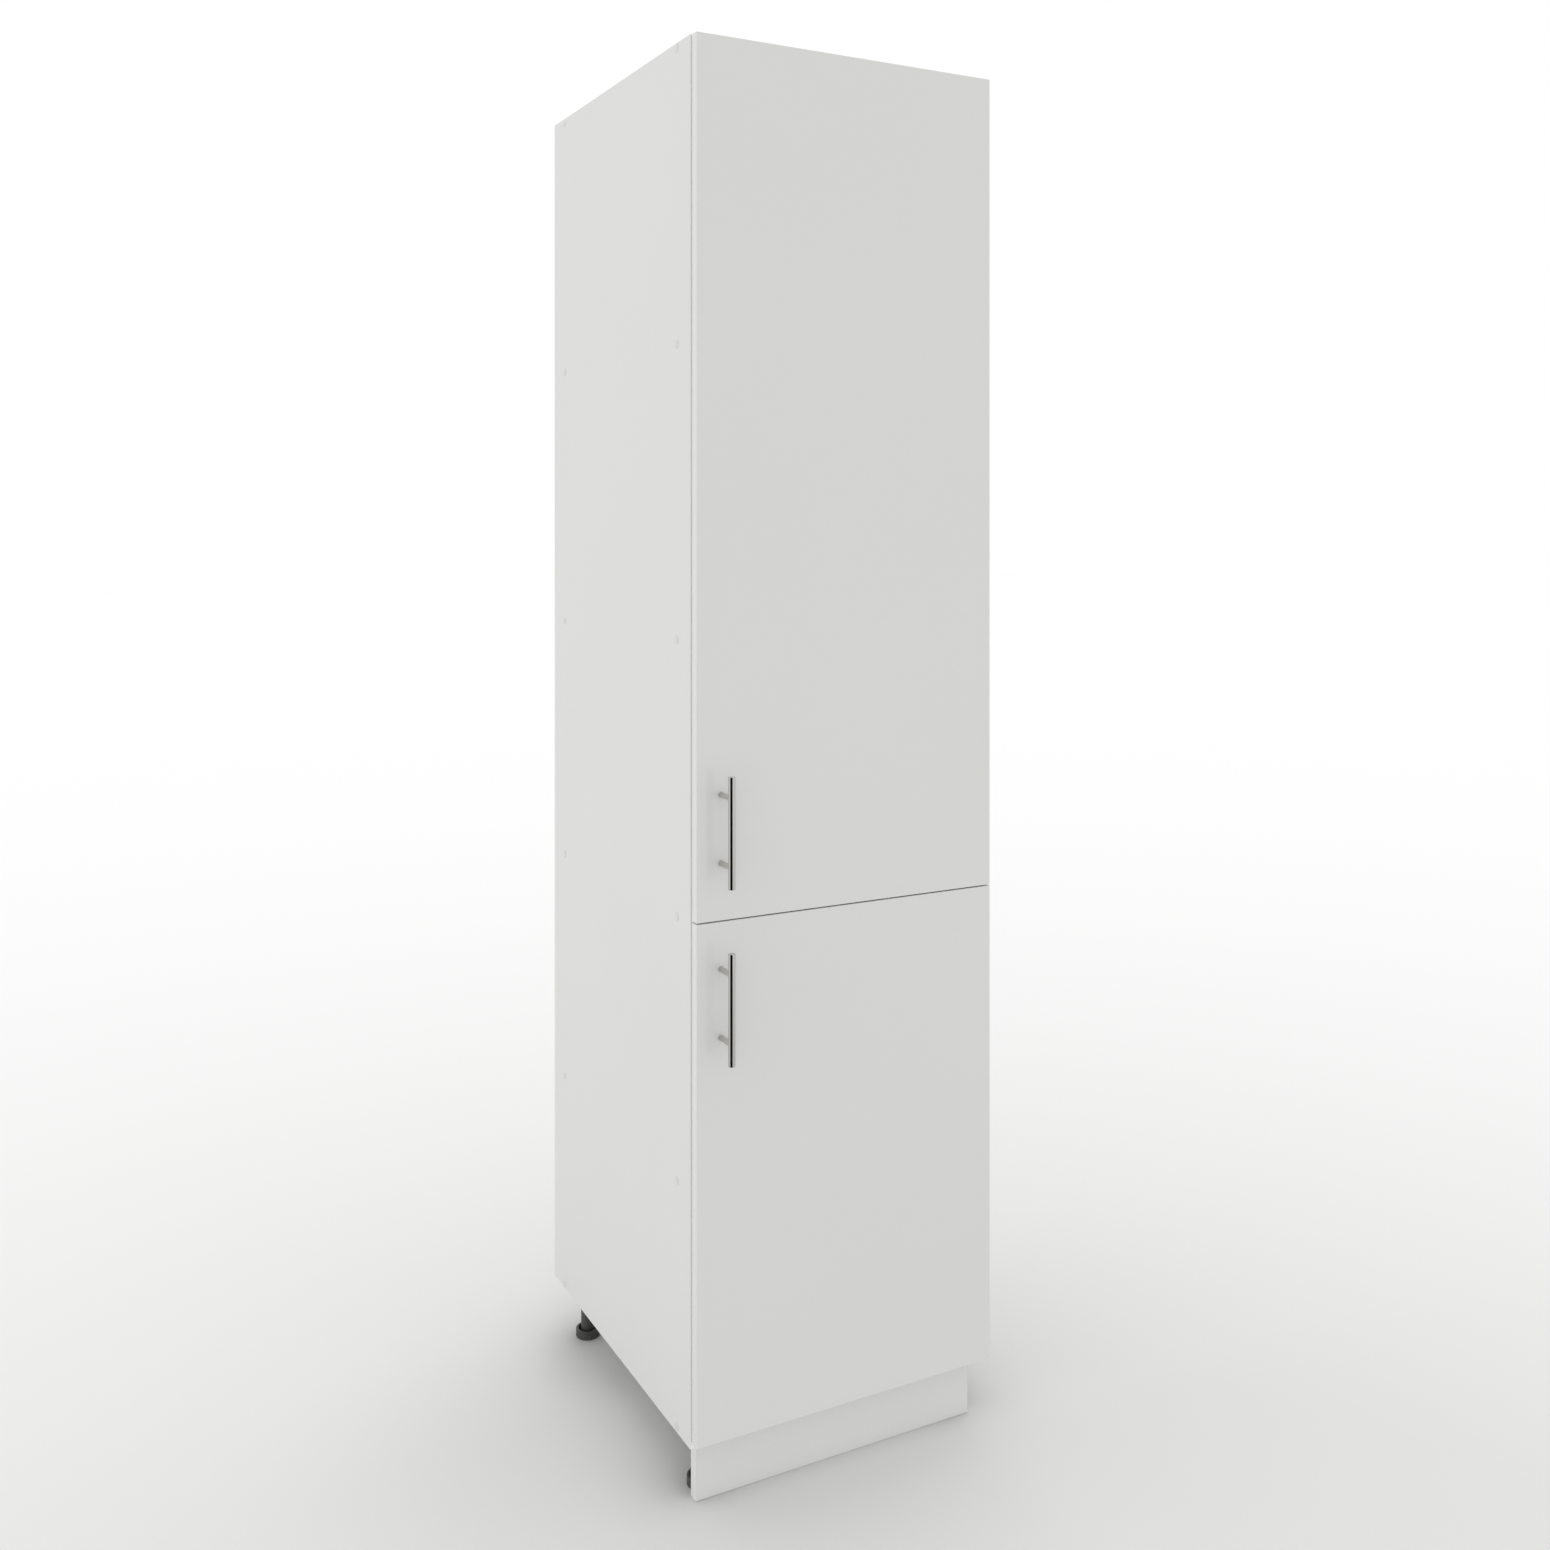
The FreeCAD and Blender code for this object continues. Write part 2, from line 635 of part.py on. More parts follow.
def link(first, last, rise, first_eye, last_eye, first_bore, last_bore, z0, z1):
    # A strip bent to an arc between two eyes; the rise is to the right of the way from first to last.
    chord_x = last[0] - first[0]
    chord_y = last[1] - first[1]
    chord = math.hypot(chord_x, chord_y)
    aside = (chord_y / chord, -chord_x / chord)
    arc_radius = (chord * chord / 4 + rise * rise) / (2 * rise)
    middle = ((first[0] + last[0]) / 2, (first[1] + last[1]) / 2)
    centre = (middle[0] + aside[0] * (rise - arc_radius), middle[1] + aside[1] * (rise - arc_radius))
    crown = (middle[0] + aside[0] * rise, middle[1] + aside[1] * rise)

    def at(place, offset):
        reach = math.hypot(place[0] - centre[0], place[1] - centre[1])
        share = (reach + offset) / reach
        x = centre[0] + (place[0] - centre[0]) * share
        y = centre[1] + (place[1] - centre[1]) * share
        return point(x, y, z0)

    half = link_half_thickness
    outside = Part.Arc(at(first, half), at(crown, half), at(last, half)).toShape()
    inside = Part.Arc(at(last, -half), at(crown, -half), at(first, -half)).toShape()
    start_edge = Part.LineSegment(at(first, -half), at(first, half)).toShape()
    end_edge = Part.LineSegment(at(last, half), at(last, -half)).toShape()
    strip = Part.Face(Part.Wire([outside, end_edge, inside, start_edge])).extrude(point(0, 0, z1 - z0))
    body = fuse_all([strip, rod(first_eye, first, z0, z1), rod(last_eye, last, z0, z1)])
    return body.cut([rod(first_bore, first, z0, z1), rod(last_bore, last, z0, z1)])


def front_link(z):
    # The wide link: a full-width root on the arm's pin, forked to two knuckles on the cup's pins.
    bore = pin_radius + link_fit
    body = link(arm_pivot, cup_pivot, front_link_rise, link_eye_radius, link_eye_radius, bore, bore,
                z - front_link_half_width, z + front_link_half_width)
    reach = math.hypot(cup_pivot[0] - arm_pivot[0], cup_pivot[1] - arm_pivot[1]) - fork_root_reach
    return body.cut(rod(reach, cup_pivot, z - knuckle_start, z + knuckle_start))


def rear_link(z):
    # The narrow link: its eye in the cup is loose on its pin, because that pivot is left open.
    return link(nose_pivot, loose_eye, rear_link_rise, link_eye_radius, loose_eye_radius,
                pin_radius + link_fit, pin_radius + loose_eye_play,
                z - rear_link_half_width, z + rear_link_half_width)


def arm_pins(z):
    return [rod(pin_radius, place, z - arm_outer_half_width, z + arm_outer_half_width)
            for place in (arm_pivot, nose_pivot)]


def cup_pins(z):
    # Two short pins for the front link's knuckles, and one long pin in the rear link's eye.
    return [
        rod(pin_radius, cup_pivot, z - lug_outer_half_width, z - knuckle_start),
        rod(pin_radius, cup_pivot, z + knuckle_start, z + lug_outer_half_width),
        rod(pin_radius, loose_pivot, z - lug_outer_half_width, z + lug_outer_half_width),
    ]


def hinge_cup(z):
    # A drawn cup with a flange on the door's inner face, two screw ears, and a lug each side for the pins.
    mouth = point(cup_x, door_back_y, z)
    inner_depth = cup_depth - cup_wall
    shell = Part.makeCylinder(cup_radius, cup_depth, mouth, front)
    rim = Part.makeCylinder(cup_radius + flange_margin, flange_thickness, mouth, back)
    ear_x = cup_x - cup_screw_offset
    half_spacing = cup_screw_spacing / 2
    ears = [block(ear_x - cup_ear_radius, ear_x + cup_ear_radius, door_back_y, door_back_y + flange_thickness,
                  z - half_spacing, z + half_spacing)]
    for sign in (-1, 1):
        ear_centre = point(ear_x, door_back_y, z + sign * half_spacing)
        ears.append(Part.makeCylinder(cup_ear_radius, flange_thickness, ear_centre, back))
    body = fuse_all([shell, rim] + ears)
    hollow_depth = inner_depth + flange_thickness
    rim_top = point(cup_x, door_back_y + flange_thickness, z)
    hollow = Part.makeCylinder(cup_inner_radius, hollow_depth, rim_top, front)
    edge_cut = block(door_right_x - cup_from_edge - flange_edge_cut, door_right_x, door_back_y,
                     door_back_y + flange_thickness, z - cup_inner_radius, z + cup_inner_radius)
    body = body.cut([hollow, edge_cut])
    lug_x0 = loose_pivot[0] - cup_lug_margin
    lug_x1 = cup_pivot[0] + cup_lug_margin
    lug_y0 = door_back_y - inner_depth - cup_wall / 2
    lug_y1 = cup_pivot[1] + cup_lug_margin
    lugs = []
    for z0 in (z - lug_outer_half_width, z + arm_inner_half_width):
        lugs.append(block(lug_x0, lug_x1, lug_y0, cup_pivot[1], z0, z0 + cup_lug_thickness))
        lugs.append(rod(lug_y1 - cup_pivot[1], cup_pivot, z0, z0 + cup_lug_thickness))
    body = fuse_all([body] + lugs)
    holes = [wood_screw_hole(start, front) for start in cup_screw_places(z)]
    for place in (cup_pivot, loose_pivot):
        holes.append(rod(pin_radius + pin_fit, place, z - lug_outer_half_width, z + lug_outer_half_width))
    return body.cut(holes)


os.makedirs("parts", exist_ok=True)

save("side_panel_left", [side_panel(-1)])
save("side_panel_right", [side_panel(1)])
for board_name in board_rises:
    save(board_name, [cross_board(board_name)])
save("back_panel", [back_panel()])
connecting_screws = []
for rise in board_rises.values():
    connecting_screws += carcass_screws(-1, rise) + carcass_screws(1, rise)
save("carcass_screws", connecting_screws)
bracket_screws = []
for name, x in zip(("left", "right"), bracket_places):
    save("wall_bracket_" + name, [wall_bracket(x)])
    bracket_screws += [wood_screw(start, up) for start in bracket_screw_places(x)]
save("bracket_screws", bracket_screws)

leg_screws = []
for name, place in leg_places.items():
    save("leg_" + name, [leg(place)])
    save("foot_" + name, [foot(place)])
    leg_screws += [wood_screw(start, up) for start in leg_screw_places(place)]
save("leg_screws", leg_screws)
save("plinth_board", [plinth_board()])
clip_screws = []
for name, x in (("left", -leg_x), ("right", leg_x)):
    save("plinth_clip_" + name, [plinth_clip(x)])
    clip_screws += [wood_screw(start, front) for start in clip_screw_places(x)]
save("plinth_clip_screws", clip_screws)

plate_screws = []
for door, (bottom_z, top_z) in door_spans.items():
    save(door + "_door_panel", [door_panel(door)])
    bumper_heights = (bottom_z + bumper_from_end, top_z - bumper_from_end)
    save(door + "_door_bumpers", [door_bumper(z) for z in bumper_heights])
    save(door + "_handle_bar", [handle_bar(door)])
    save(door + "_handle_posts", [handle_post(z) for z in handle_hole_heights(door)])
    save(door + "_handle_screws", [handle_screw(z) for z in handle_hole_heights(door)])
    heights = door_hinges[door]
    cup_screws = []
    door_arm_pins = []
    door_cup_pins = []
    for number, z in enumerate(heights, start=1):
        save(door + "_hinge_plate_" + str(number), [hinge_plate(z)])
        save(door + "_hinge_arm_" + str(number), [hinge_arm(z)])
        plate_screws += [plate_screw(place) for place in plate_screw_places(z)]
        cup_screws += [wood_screw(start, front) for start in cup_screw_places(z)]
        door_arm_pins += arm_pins(z)
        door_cup_pins += cup_pins(z)
    save(door + "_hinge_cups", [hinge_cup(z) for z in heights])
    save(door + "_front_links", [front_link(z) for z in heights])
    save(door + "_rear_links", [rear_link(z) for z in heights])
    save(door + "_arm_pins", door_arm_pins)
    save(door + "_cup_pins", door_cup_pins)
    save(door + "_cup_screws", cup_screws)
save("hinge_plate_screws", plate_screws)
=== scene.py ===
import math

import bmesh
import bpy
import numpy as np
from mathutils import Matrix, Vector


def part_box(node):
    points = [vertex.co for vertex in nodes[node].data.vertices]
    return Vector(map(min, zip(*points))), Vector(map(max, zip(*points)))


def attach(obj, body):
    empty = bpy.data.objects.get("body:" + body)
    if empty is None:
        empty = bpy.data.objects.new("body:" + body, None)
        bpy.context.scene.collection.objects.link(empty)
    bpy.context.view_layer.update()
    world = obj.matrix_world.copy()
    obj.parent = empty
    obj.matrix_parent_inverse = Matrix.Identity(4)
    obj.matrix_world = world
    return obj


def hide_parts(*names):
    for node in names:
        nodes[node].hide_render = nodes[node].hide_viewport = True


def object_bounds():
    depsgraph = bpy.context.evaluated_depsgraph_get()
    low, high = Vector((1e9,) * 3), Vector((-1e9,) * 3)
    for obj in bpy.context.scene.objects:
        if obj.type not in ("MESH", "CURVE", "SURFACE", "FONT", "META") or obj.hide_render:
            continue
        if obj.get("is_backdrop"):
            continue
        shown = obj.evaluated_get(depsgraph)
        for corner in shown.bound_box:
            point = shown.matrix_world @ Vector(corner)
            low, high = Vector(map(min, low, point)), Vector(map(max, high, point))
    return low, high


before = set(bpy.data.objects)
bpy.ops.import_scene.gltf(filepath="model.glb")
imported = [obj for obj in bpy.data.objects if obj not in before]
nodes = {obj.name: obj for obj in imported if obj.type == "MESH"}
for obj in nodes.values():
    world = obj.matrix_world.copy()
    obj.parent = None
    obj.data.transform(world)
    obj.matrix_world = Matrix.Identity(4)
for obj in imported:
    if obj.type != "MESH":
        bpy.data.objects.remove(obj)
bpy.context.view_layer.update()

scene = bpy.context.scene
mm = 0.001
samePlane = 1e-5  # metres within which corners are level with each other
placeDigits = 5  # decimals, in metres, that tell one place from the next
footCorners = ("front_left", "front_right", "rear_left", "rear_right")
print("frame loaded:", len(nodes), "nodes")


def toLinear(hexColour):
    # sRGB hex to the linear RGBA that the sockets take
    shares = np.array([int(hexColour[i:i + 2], 16) for i in (1, 3, 5)]) / 255
    linear = np.where(shares <= 0.04045, shares / 12.92, ((shares + 0.055) / 1.055) ** 2.4)
    return (*linear.tolist(), 1.0)


def addNode(tree, kind, links=None, values=None, **settings):
    # one node: settings are its properties, values its sockets, links name what feeds a socket
    node = tree.nodes.new(kind)
    for name, value in settings.items():
        setattr(node, name, value)
    inputs = {socket.name: socket for socket in node.inputs if socket.enabled}
    for socket, value in (values or {}).items():
        (inputs[socket] if socket in inputs else node.inputs[socket]).default_value = value
    for socket, source in (links or {}).items():
        tree.links.new(source, inputs[socket] if socket in inputs else node.inputs[socket])
    return node


def newMaterial(name):
    material = bpy.data.materials.new(name)
    material.use_nodes = True
    material.node_tree.nodes.clear()
    return material, material.node_tree


def perMetre(sizeInMm):
    # a texture's scale from the real size of one feature
    return 1 / (sizeInMm * mm)


# Camera: level, left of the front, with the frame shifted down to take in the floor
cameraPlace = {
    "location": (-1.1398, -2.1931, 1.3876),
    "turn": -27.807,  # degrees about the vertical
    "sensor": 36.0,
    "lens": 35.41,
    "shiftY": -0.1633,
}
cameraData = bpy.data.cameras.new("camera")
cameraData.sensor_width = cameraPlace["sensor"]
cameraData.lens = cameraPlace["lens"]
cameraData.shift_y = cameraPlace["shiftY"]
camera = bpy.data.objects.new("camera", cameraData)
camera.location = cameraPlace["location"]
camera.rotation_euler = (math.radians(90), 0, math.radians(cameraPlace["turn"]))
scene.collection.objects.link(camera)
scene.camera = camera
scene.view_settings.view_transform = "Standard"

# Light: a white tent, a little brighter on the left and a little darker in front
tent = {
    "level": 1.0,
    "lean": (-0.07, 0.05, 0.0),  # change of brightness along each axis
}
world = bpy.data.worlds.new("tent")
scene.world = world
world.use_nodes = True
tree = world.node_tree
tree.nodes.clear()
direction = addNode(tree, "ShaderNodeTexCoord")
lean = addNode(tree, "ShaderNodeVectorMath", {0: direction.outputs["Generated"]},
               {1: tent["lean"]}, operation="DOT_PRODUCT")
level = addNode(tree, "ShaderNodeMath", {0: lean.outputs["Value"]}, {1: tent["level"]}, operation="ADD")
lightPath = addNode(tree, "ShaderNodeLightPath")
seen = addNode(tree, "ShaderNodeMath", {0: lightPath.outputs["Is Camera Ray"],
                                        1: lightPath.outputs["Is Glossy Ray"]}, operation="MAXIMUM")
seen = addNode(tree, "ShaderNodeMath", {0: seen.outputs[0],
                                        1: lightPath.outputs["Is Transmission Ray"]}, operation="MAXIMUM")
lighting = addNode(tree, "ShaderNodeBackground", {"Strength": level.outputs[0]}, {"Color": (1, 1, 1, 1)})
backdrop = addNode(tree, "ShaderNodeBackground", values={"Color": (1, 1, 1, 1), "Strength": 1.0})
mixed = addNode(tree, "ShaderNodeMixShader", {0: seen.outputs[0], 1: lighting.outputs[0],
                                              2: backdrop.outputs[0]})
addNode(tree, "ShaderNodeOutputWorld", {"Surface": mixed.outputs[0]})
print("camera and light ready")


def gridFaces(rows, columns, wraps):
    # the four corners of every cell of a rows by columns grid
    row, column = np.meshgrid(np.arange(rows - 1), np.arange(columns if wraps else columns - 1),
                              indexing="ij")
    after = (column + 1) % columns
    cells = [row * columns + column, row * columns + after,
             (row + 1) * columns + after, (row + 1) * columns + column]
    return np.stack(cells, axis=-1).reshape(-1, 4)


# metres: corners nearer than the first become one, edges shorter than the second go
meshLimits = {"merge": 1e-7, "dissolve": 1e-8}


def makePiece(name, grids, material, body=None, sharpAngle=40, wraps=True):
    # grids: copies, rows, columns, xyz; columns close on themselves unless wraps is off,
    # and rows that shrink to a point are merged
    grids = np.asarray(grids, float)
    copies, rows, columns = grids.shape[:3]
    faces = gridFaces(rows, columns, wraps)
    allFaces = (faces[None] + (np.arange(copies) * rows * columns)[:, None, None]).reshape(-1, 4)
    mesh = bpy.data.meshes.new(name)
    mesh.from_pydata(grids.reshape(-1, 3).tolist(), [], allFaces.tolist())
    work = bmesh.new()
    work.from_mesh(mesh)
    bmesh.ops.remove_doubles(work, verts=work.verts, dist=meshLimits["merge"])
    bmesh.ops.dissolve_degenerate(work, edges=work.edges, dist=meshLimits["dissolve"])
    bmesh.ops.recalc_face_normals(work, faces=work.faces)
    work.to_mesh(mesh)
    work.free()
    mesh.polygons.foreach_set("use_smooth", np.ones(len(mesh.polygons), bool))
    mesh.set_sharp_from_angle(angle=math.radians(sharpAngle))
    mesh.materials.append(material)
    piece = bpy.data.objects.new(name, mesh)
    scene.collection.objects.link(piece)
    if body:
        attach(piece, body)
    return piece


def rounded(corners, steps=6):
    # a polyline of (radius, height, fillet) corners, each bend replaced by an arc tangent to both sides
    nearlyStraight = 1e-3  # radians
    points = np.array([corner[:2] for corner in corners], float)
    line = [points[:1]]
    for before, here, after, fillet in zip(points, points[1:], points[2:], [c[2] for c in corners[1:-1]]):
        towards, onwards = before - here, after - here
        towards, onwards = towards / np.linalg.norm(towards), onwards / np.linalg.norm(onwards)
        half = math.acos(np.clip(np.dot(towards, onwards), -1, 1)) / 2
        if fillet <= 0 or half > math.pi / 2 - nearlyStraight:
            line.append(here[None])
            continue
        share = np.linspace(0, 1, steps + 1)[:, None]
        start, end = here + towards * fillet / math.tan(half), here + onwards * fillet / math.tan(half)
        middle = towards + onwards
        centre = here + middle / np.linalg.norm(middle) * fillet / math.sin(half)
        arm = (start - centre) * (1 - share) + (end - centre) * share
        line.append(centre + arm / np.linalg.norm(arm, axis=1, keepdims=True) * fillet)
    line.append(points[-1:])
    return np.concatenate(line)


def turned(profile, columns=48):
    # a (radius, height) profile carried round the upright axis
    angle = np.linspace(0, 2 * math.pi, columns, endpoint=False)
    radius, height = profile[:, 0, None], profile[:, 1, None]
    return np.stack([radius * np.cos(angle), radius * np.sin(angle), height + 0 * angle], axis=-1)


def aimed(grid, places, along):
    # copies of a grid drawn along +Z, laid along another axis and set at the places
    turns = {
        "up": np.array([[1, 0, 0], [0, 1, 0], [0, 0, 1]]),
        "back": np.array([[1, 0, 0], [0, 0, 1], [0, -1, 0]]),
        "front": np.array([[1, 0, 0], [0, 0, -1], [0, 1, 0]]),
        "right": np.array([[0, 0, 1], [0, 1, 0], [-1, 0, 0]]),
        "left": np.array([[0, 0, -1], [0, 1, 0], [1, 0, 0]]),
    }
    laid = grid @ turns[along].T
    return laid[None] + np.asarray(places, float)[:, None, None, :]


def nodeCorners(node):
    mesh = nodes[node].data
    corners = np.empty(len(mesh.vertices) * 3, np.float32)
    mesh.vertices.foreach_get("co", corners)
    return corners.reshape(-1, 3).astype(float)


def furthest(node, axis, end):
    # the corners of a node that lie furthest along one axis, each once: the points of its screws
    corners = nodeCorners(node)
    reach = corners[:, axis] * end
    return np.unique(np.round(corners[reach > reach.max() - samePlane], placeDigits), axis=0)


# Floor: pale round the cabinet and white further out, with painted shade at the cabinet's base and round
# each foot; in front and at the sides it glows plain white to diffuse rays, a painted light that stands in
# for the floor's bounce
floorLook = {
    "size": 60.0,
    "near": "#E7E7E6",
    "far": "#FFFFFF",
    "middle": (-0.28, -1.14, 0.0),  # of the pale round
    "startsAt": 1.2,  # metres from its middle
    "fadesOver": 1.7,  # metres in which the tone comes 63% nearer to white
    # painted shade on the floor at the cabinet's base: each patch darkens the floor's tone
    "paintedShadePatches": [  # darker parts at the cabinet's base: middle, full up to, gone beyond, tone
        ((-0.22, -0.12, 0.0), 0.2, 0.65, 0.93),
        ((-0.21, 0.16, 0.0), 0.02, 0.14, 0.89),
    ],
    # painted shade on the floor round each foot
    "footShade": 0.2,  # share of the light lost beside a foot
    "footFade": 0.033,  # metres in which that loss falls to 37%
    # painted light: the floor glows plain white to diffuse rays in front and at the sides, standing in for
    # the light it bounces onto the cabinet
    "bounce": 0.85,  # share of plain white in what the cabinet gets from the floor
    "bounceFront": (-0.2, -0.27),  # where it starts and is full: in front
    "bounceSide": (0.25, 0.42),  # and to either side
}


def fallOff(tree, distance, startsAt, fadesOver):
    # 1 up to the start, then e to the minus distance in units of the fade
    steps = addNode(tree, "ShaderNodeMapRange", {"Value": distance}, {
        "From Min": startsAt, "From Max": startsAt + fadesOver, "To Max": -1.0}, clamp=False)
    steps = addNode(tree, "ShaderNodeMath", {0: steps.outputs["Result"]}, {1: 0.0}, operation="MINIMUM")
    return addNode(tree, "ShaderNodeMath", {0: steps.outputs[0]}, operation="EXPONENT").outputs[0]


floorMaterial, tree = newMaterial("matt white paper")
floorMaterial.cycles.emission_sampling = "NONE"  # the bounce is found by the rays that leave the cabinet
place = addNode(tree, "ShaderNodeTexCoord").outputs["Object"]
radius = addNode(tree, "ShaderNodeVectorMath", {0: place}, {1: floorLook["middle"]}, operation="DISTANCE")
nearness = fallOff(tree, radius.outputs["Value"], floorLook["startsAt"], floorLook["fadesOver"])
tone = addNode(tree, "ShaderNodeMix", {"Factor": nearness}, {
    "A": toLinear(floorLook["far"]), "B": toLinear(floorLook["near"])}, data_type="RGBA").outputs["Result"]
# painted shade: each patch scales the floor's tone down towards its level
for middle, fullTo, goneAt, level in floorLook["paintedShadePatches"]:
    radius = addNode(tree, "ShaderNodeVectorMath", {0: place}, {1: middle}, operation="DISTANCE")
    patch = addNode(tree, "ShaderNodeMapRange", {"Value": radius.outputs["Value"]}, {
        "From Min": fullTo, "From Max": goneAt, "To Min": level}, interpolation_type="SMOOTHSTEP")
    tone = addNode(tree, "ShaderNodeVectorMath", {0: tone, "Scale": patch.outputs["Result"]},
                   operation="SCALE").outputs[0]
nearest = None  # distance to the nearest foot
for corner in footCorners:
    low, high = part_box("foot_" + corner)
    middle = ((low.x + high.x) / 2, (low.y + high.y) / 2, 0.0)
    away = addNode(tree, "ShaderNodeVectorMath", {0: place}, {1: middle}, operation="DISTANCE")
    away = away.outputs["Value"]
    if nearest is not None:
        away = addNode(tree, "ShaderNodeMath", {0: nearest, 1: away}, operation="MINIMUM").outputs[0]
    nearest = away
# painted shadow round the nearest foot, taken off the floor's tone
shade = fallOff(tree, nearest, (high.x - low.x) / 2, floorLook["footFade"])
shade = addNode(tree, "ShaderNodeMath", {0: shade}, {1: -floorLook["footShade"], 2: 1.0},
                operation="MULTIPLY_ADD")
tone = addNode(tree, "ShaderNodeVectorMath", {0: tone, "Scale": shade.outputs[0]}, operation="SCALE")
paper = addNode(tree, "ShaderNodeBsdfDiffuse", {"Color": tone.outputs[0]})
# the floor's painted glow, which only diffuse rays see
white = addNode(tree, "ShaderNodeEmission", values={"Color": (1, 1, 1, 1), "Strength": 1.0})
apart = addNode(tree, "ShaderNodeSeparateXYZ", {0: place})
sideways = addNode(tree, "ShaderNodeMath", {0: apart.outputs["X"]}, operation="ABSOLUTE")
ahead = addNode(tree, "ShaderNodeMapRange", {"Value": apart.outputs["Y"]}, {
    "From Min": floorLook["bounceFront"][0], "From Max": floorLook["bounceFront"][1],
    "To Max": floorLook["bounce"]})
beside = addNode(tree, "ShaderNodeMapRange", {"Value": sideways.outputs[0]}, {
    "From Min": floorLook["bounceSide"][0], "From Max": floorLook["bounceSide"][1],
    "To Max": floorLook["bounce"]})
outside = addNode(tree, "ShaderNodeMath", {0: ahead.outputs["Result"], 1: beside.outputs["Result"]},
                  operation="MAXIMUM")
lightPath = addNode(tree, "ShaderNodeLightPath")
bounce = addNode(tree, "ShaderNodeMath", {0: outside.outputs[0], 1: lightPath.outputs["Is Diffuse Ray"]},
                 operation="MULTIPLY")
mixed = addNode(tree, "ShaderNodeMixShader", {0: bounce.outputs[0], 1: paper.outputs[0],
                                              2: white.outputs[0]})
addNode(tree, "ShaderNodeOutputMaterial", {"Surface": mixed.outputs[0]})
reach = floorLook["size"] / 2
floorX, floorY = np.meshgrid([-reach, reach], [-reach, reach], indexing="ij")
floorGrid = np.stack([floorX, floorY, np.zeros_like(floorX)], axis=-1)
floor = makePiece("floor", floorGrid[None], floorMaterial, wraps=False)
floor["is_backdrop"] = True

# Flag: a dark card on the floor that only mirrors see, so that the bars carry a dark line down the middle;
# its soft edges leave no hard outline in the doors
flag = {
    "towards": -42.0,  # degrees round the upper handle, from straight ahead
    "halfWidth": 38.0,  # degrees
    "softWidth": 5.0,
    "columns": 24,
    "distance": 1.2,  # metres from the upper handle
    "height": 1.14,  # metres above the floor
    "softHeight": 0.15,
    "colour": "#0A0A0A",
}
barLow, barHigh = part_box("upper_handle_bar")
barX, barY = (barLow.x + barHigh.x) / 2, (barLow.y + barHigh.y) / 2
flagMaterial, tree = newMaterial("black felt")
place = addNode(tree, "ShaderNodeTexCoord").outputs["Object"]
apart = addNode(tree, "ShaderNodeVectorMath", {0: place}, {1: (barX, barY, 0.0)}, operation="SUBTRACT")
apart = addNode(tree, "ShaderNodeSeparateXYZ", {0: apart.outputs[0]})
ahead = addNode(tree, "ShaderNodeMath", {0: apart.outputs["Y"]}, {1: -1.0}, operation="MULTIPLY")
bearing = addNode(tree, "ShaderNodeMath", {0: apart.outputs["X"], 1: ahead.outputs[0]}, operation="ARCTAN2")
reaches = []
for offset, middle, half, soft in (
        (bearing.outputs[0], math.radians(flag["towards"]), math.radians(flag["halfWidth"]),
         math.radians(flag["softWidth"])),
        (apart.outputs["Z"], 0.0, flag["height"], flag["softHeight"])):
    # full inside, running out smoothly over the soft width on either side of the edge
    away = addNode(tree, "ShaderNodeMath", {0: offset}, {1: middle}, operation="SUBTRACT")
    away = addNode(tree, "ShaderNodeMath", {0: away.outputs[0]}, operation="ABSOLUTE")
    reaches.append(addNode(tree, "ShaderNodeMapRange", {"Value": away.outputs[0]}, {
        "From Min": half - soft, "From Max": half + soft, "To Min": 1.0, "To Max": 0.0},
        interpolation_type="SMOOTHSTEP"))
cover = addNode(tree, "ShaderNodeMath", {0: reaches[0].outputs["Result"], 1: reaches[1].outputs["Result"]},
                operation="MULTIPLY")
clear = addNode(tree, "ShaderNodeBsdfTransparent")
felt = addNode(tree, "ShaderNodeBsdfDiffuse", values={"Color": toLinear(flag["colour"])})
mixed = addNode(tree, "ShaderNodeMixShader", {0: cover.outputs[0], 1: clear.outputs[0],
                                              2: felt.outputs[0]})
addNode(tree, "ShaderNodeOutputMaterial", {"Surface": mixed.outputs[0]})
turnReach, heightReach = flag["halfWidth"] + flag["softWidth"], flag["height"] + flag["softHeight"]
turns = flag["towards"] + np.linspace(-turnReach, turnReach, flag["columns"])
angle, height = np.meshgrid(np.radians(turns), [0.0, heightReach], indexing="ij")
flagGrid = np.stack([barX + flag["distance"] * np.sin(angle), barY - flag["distance"] * np.cos(angle),
                     height], axis=-1)
flagCard = makePiece("flag", flagGrid[None], flagMaterial, wraps=False)
flagCard.visible_camera = False
flagCard.visible_diffuse = False
flagCard.visible_shadow = False
flagCard.visible_transmission = False
flagCard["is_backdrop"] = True
print("floor and flag ready")

# Melamine-faced chipboard, pressed against a pearl-textured plate: even off-white, a broad soft sheen,
# a grain that shows only in the sheen, and a hair line where the front edge band is glued on
melamine = {
    "colour": "#D9D9D7",
    "shade": "#D7D7D5",
    "cloud": 180.0,  # mm across one patch of tone
    "pearl": 1.2,  # mm, drawn twice as coarse as the real grain so that it shows
    "roughness": (0.42, 0.5),
    "band": "#EBEBE9",  # of the front edge
    "bandThickness": 1.0,  # mm
    "bandLine": "#C9C9C5",
    "lineWidth": 0.25,  # mm
    "frontSkin": 0.05,  # mm of depth that count as the front face
    "bumpStrength": 0.06,
    "bumpHeight": 0.1,  # mm
    "ior": 1.5,
}


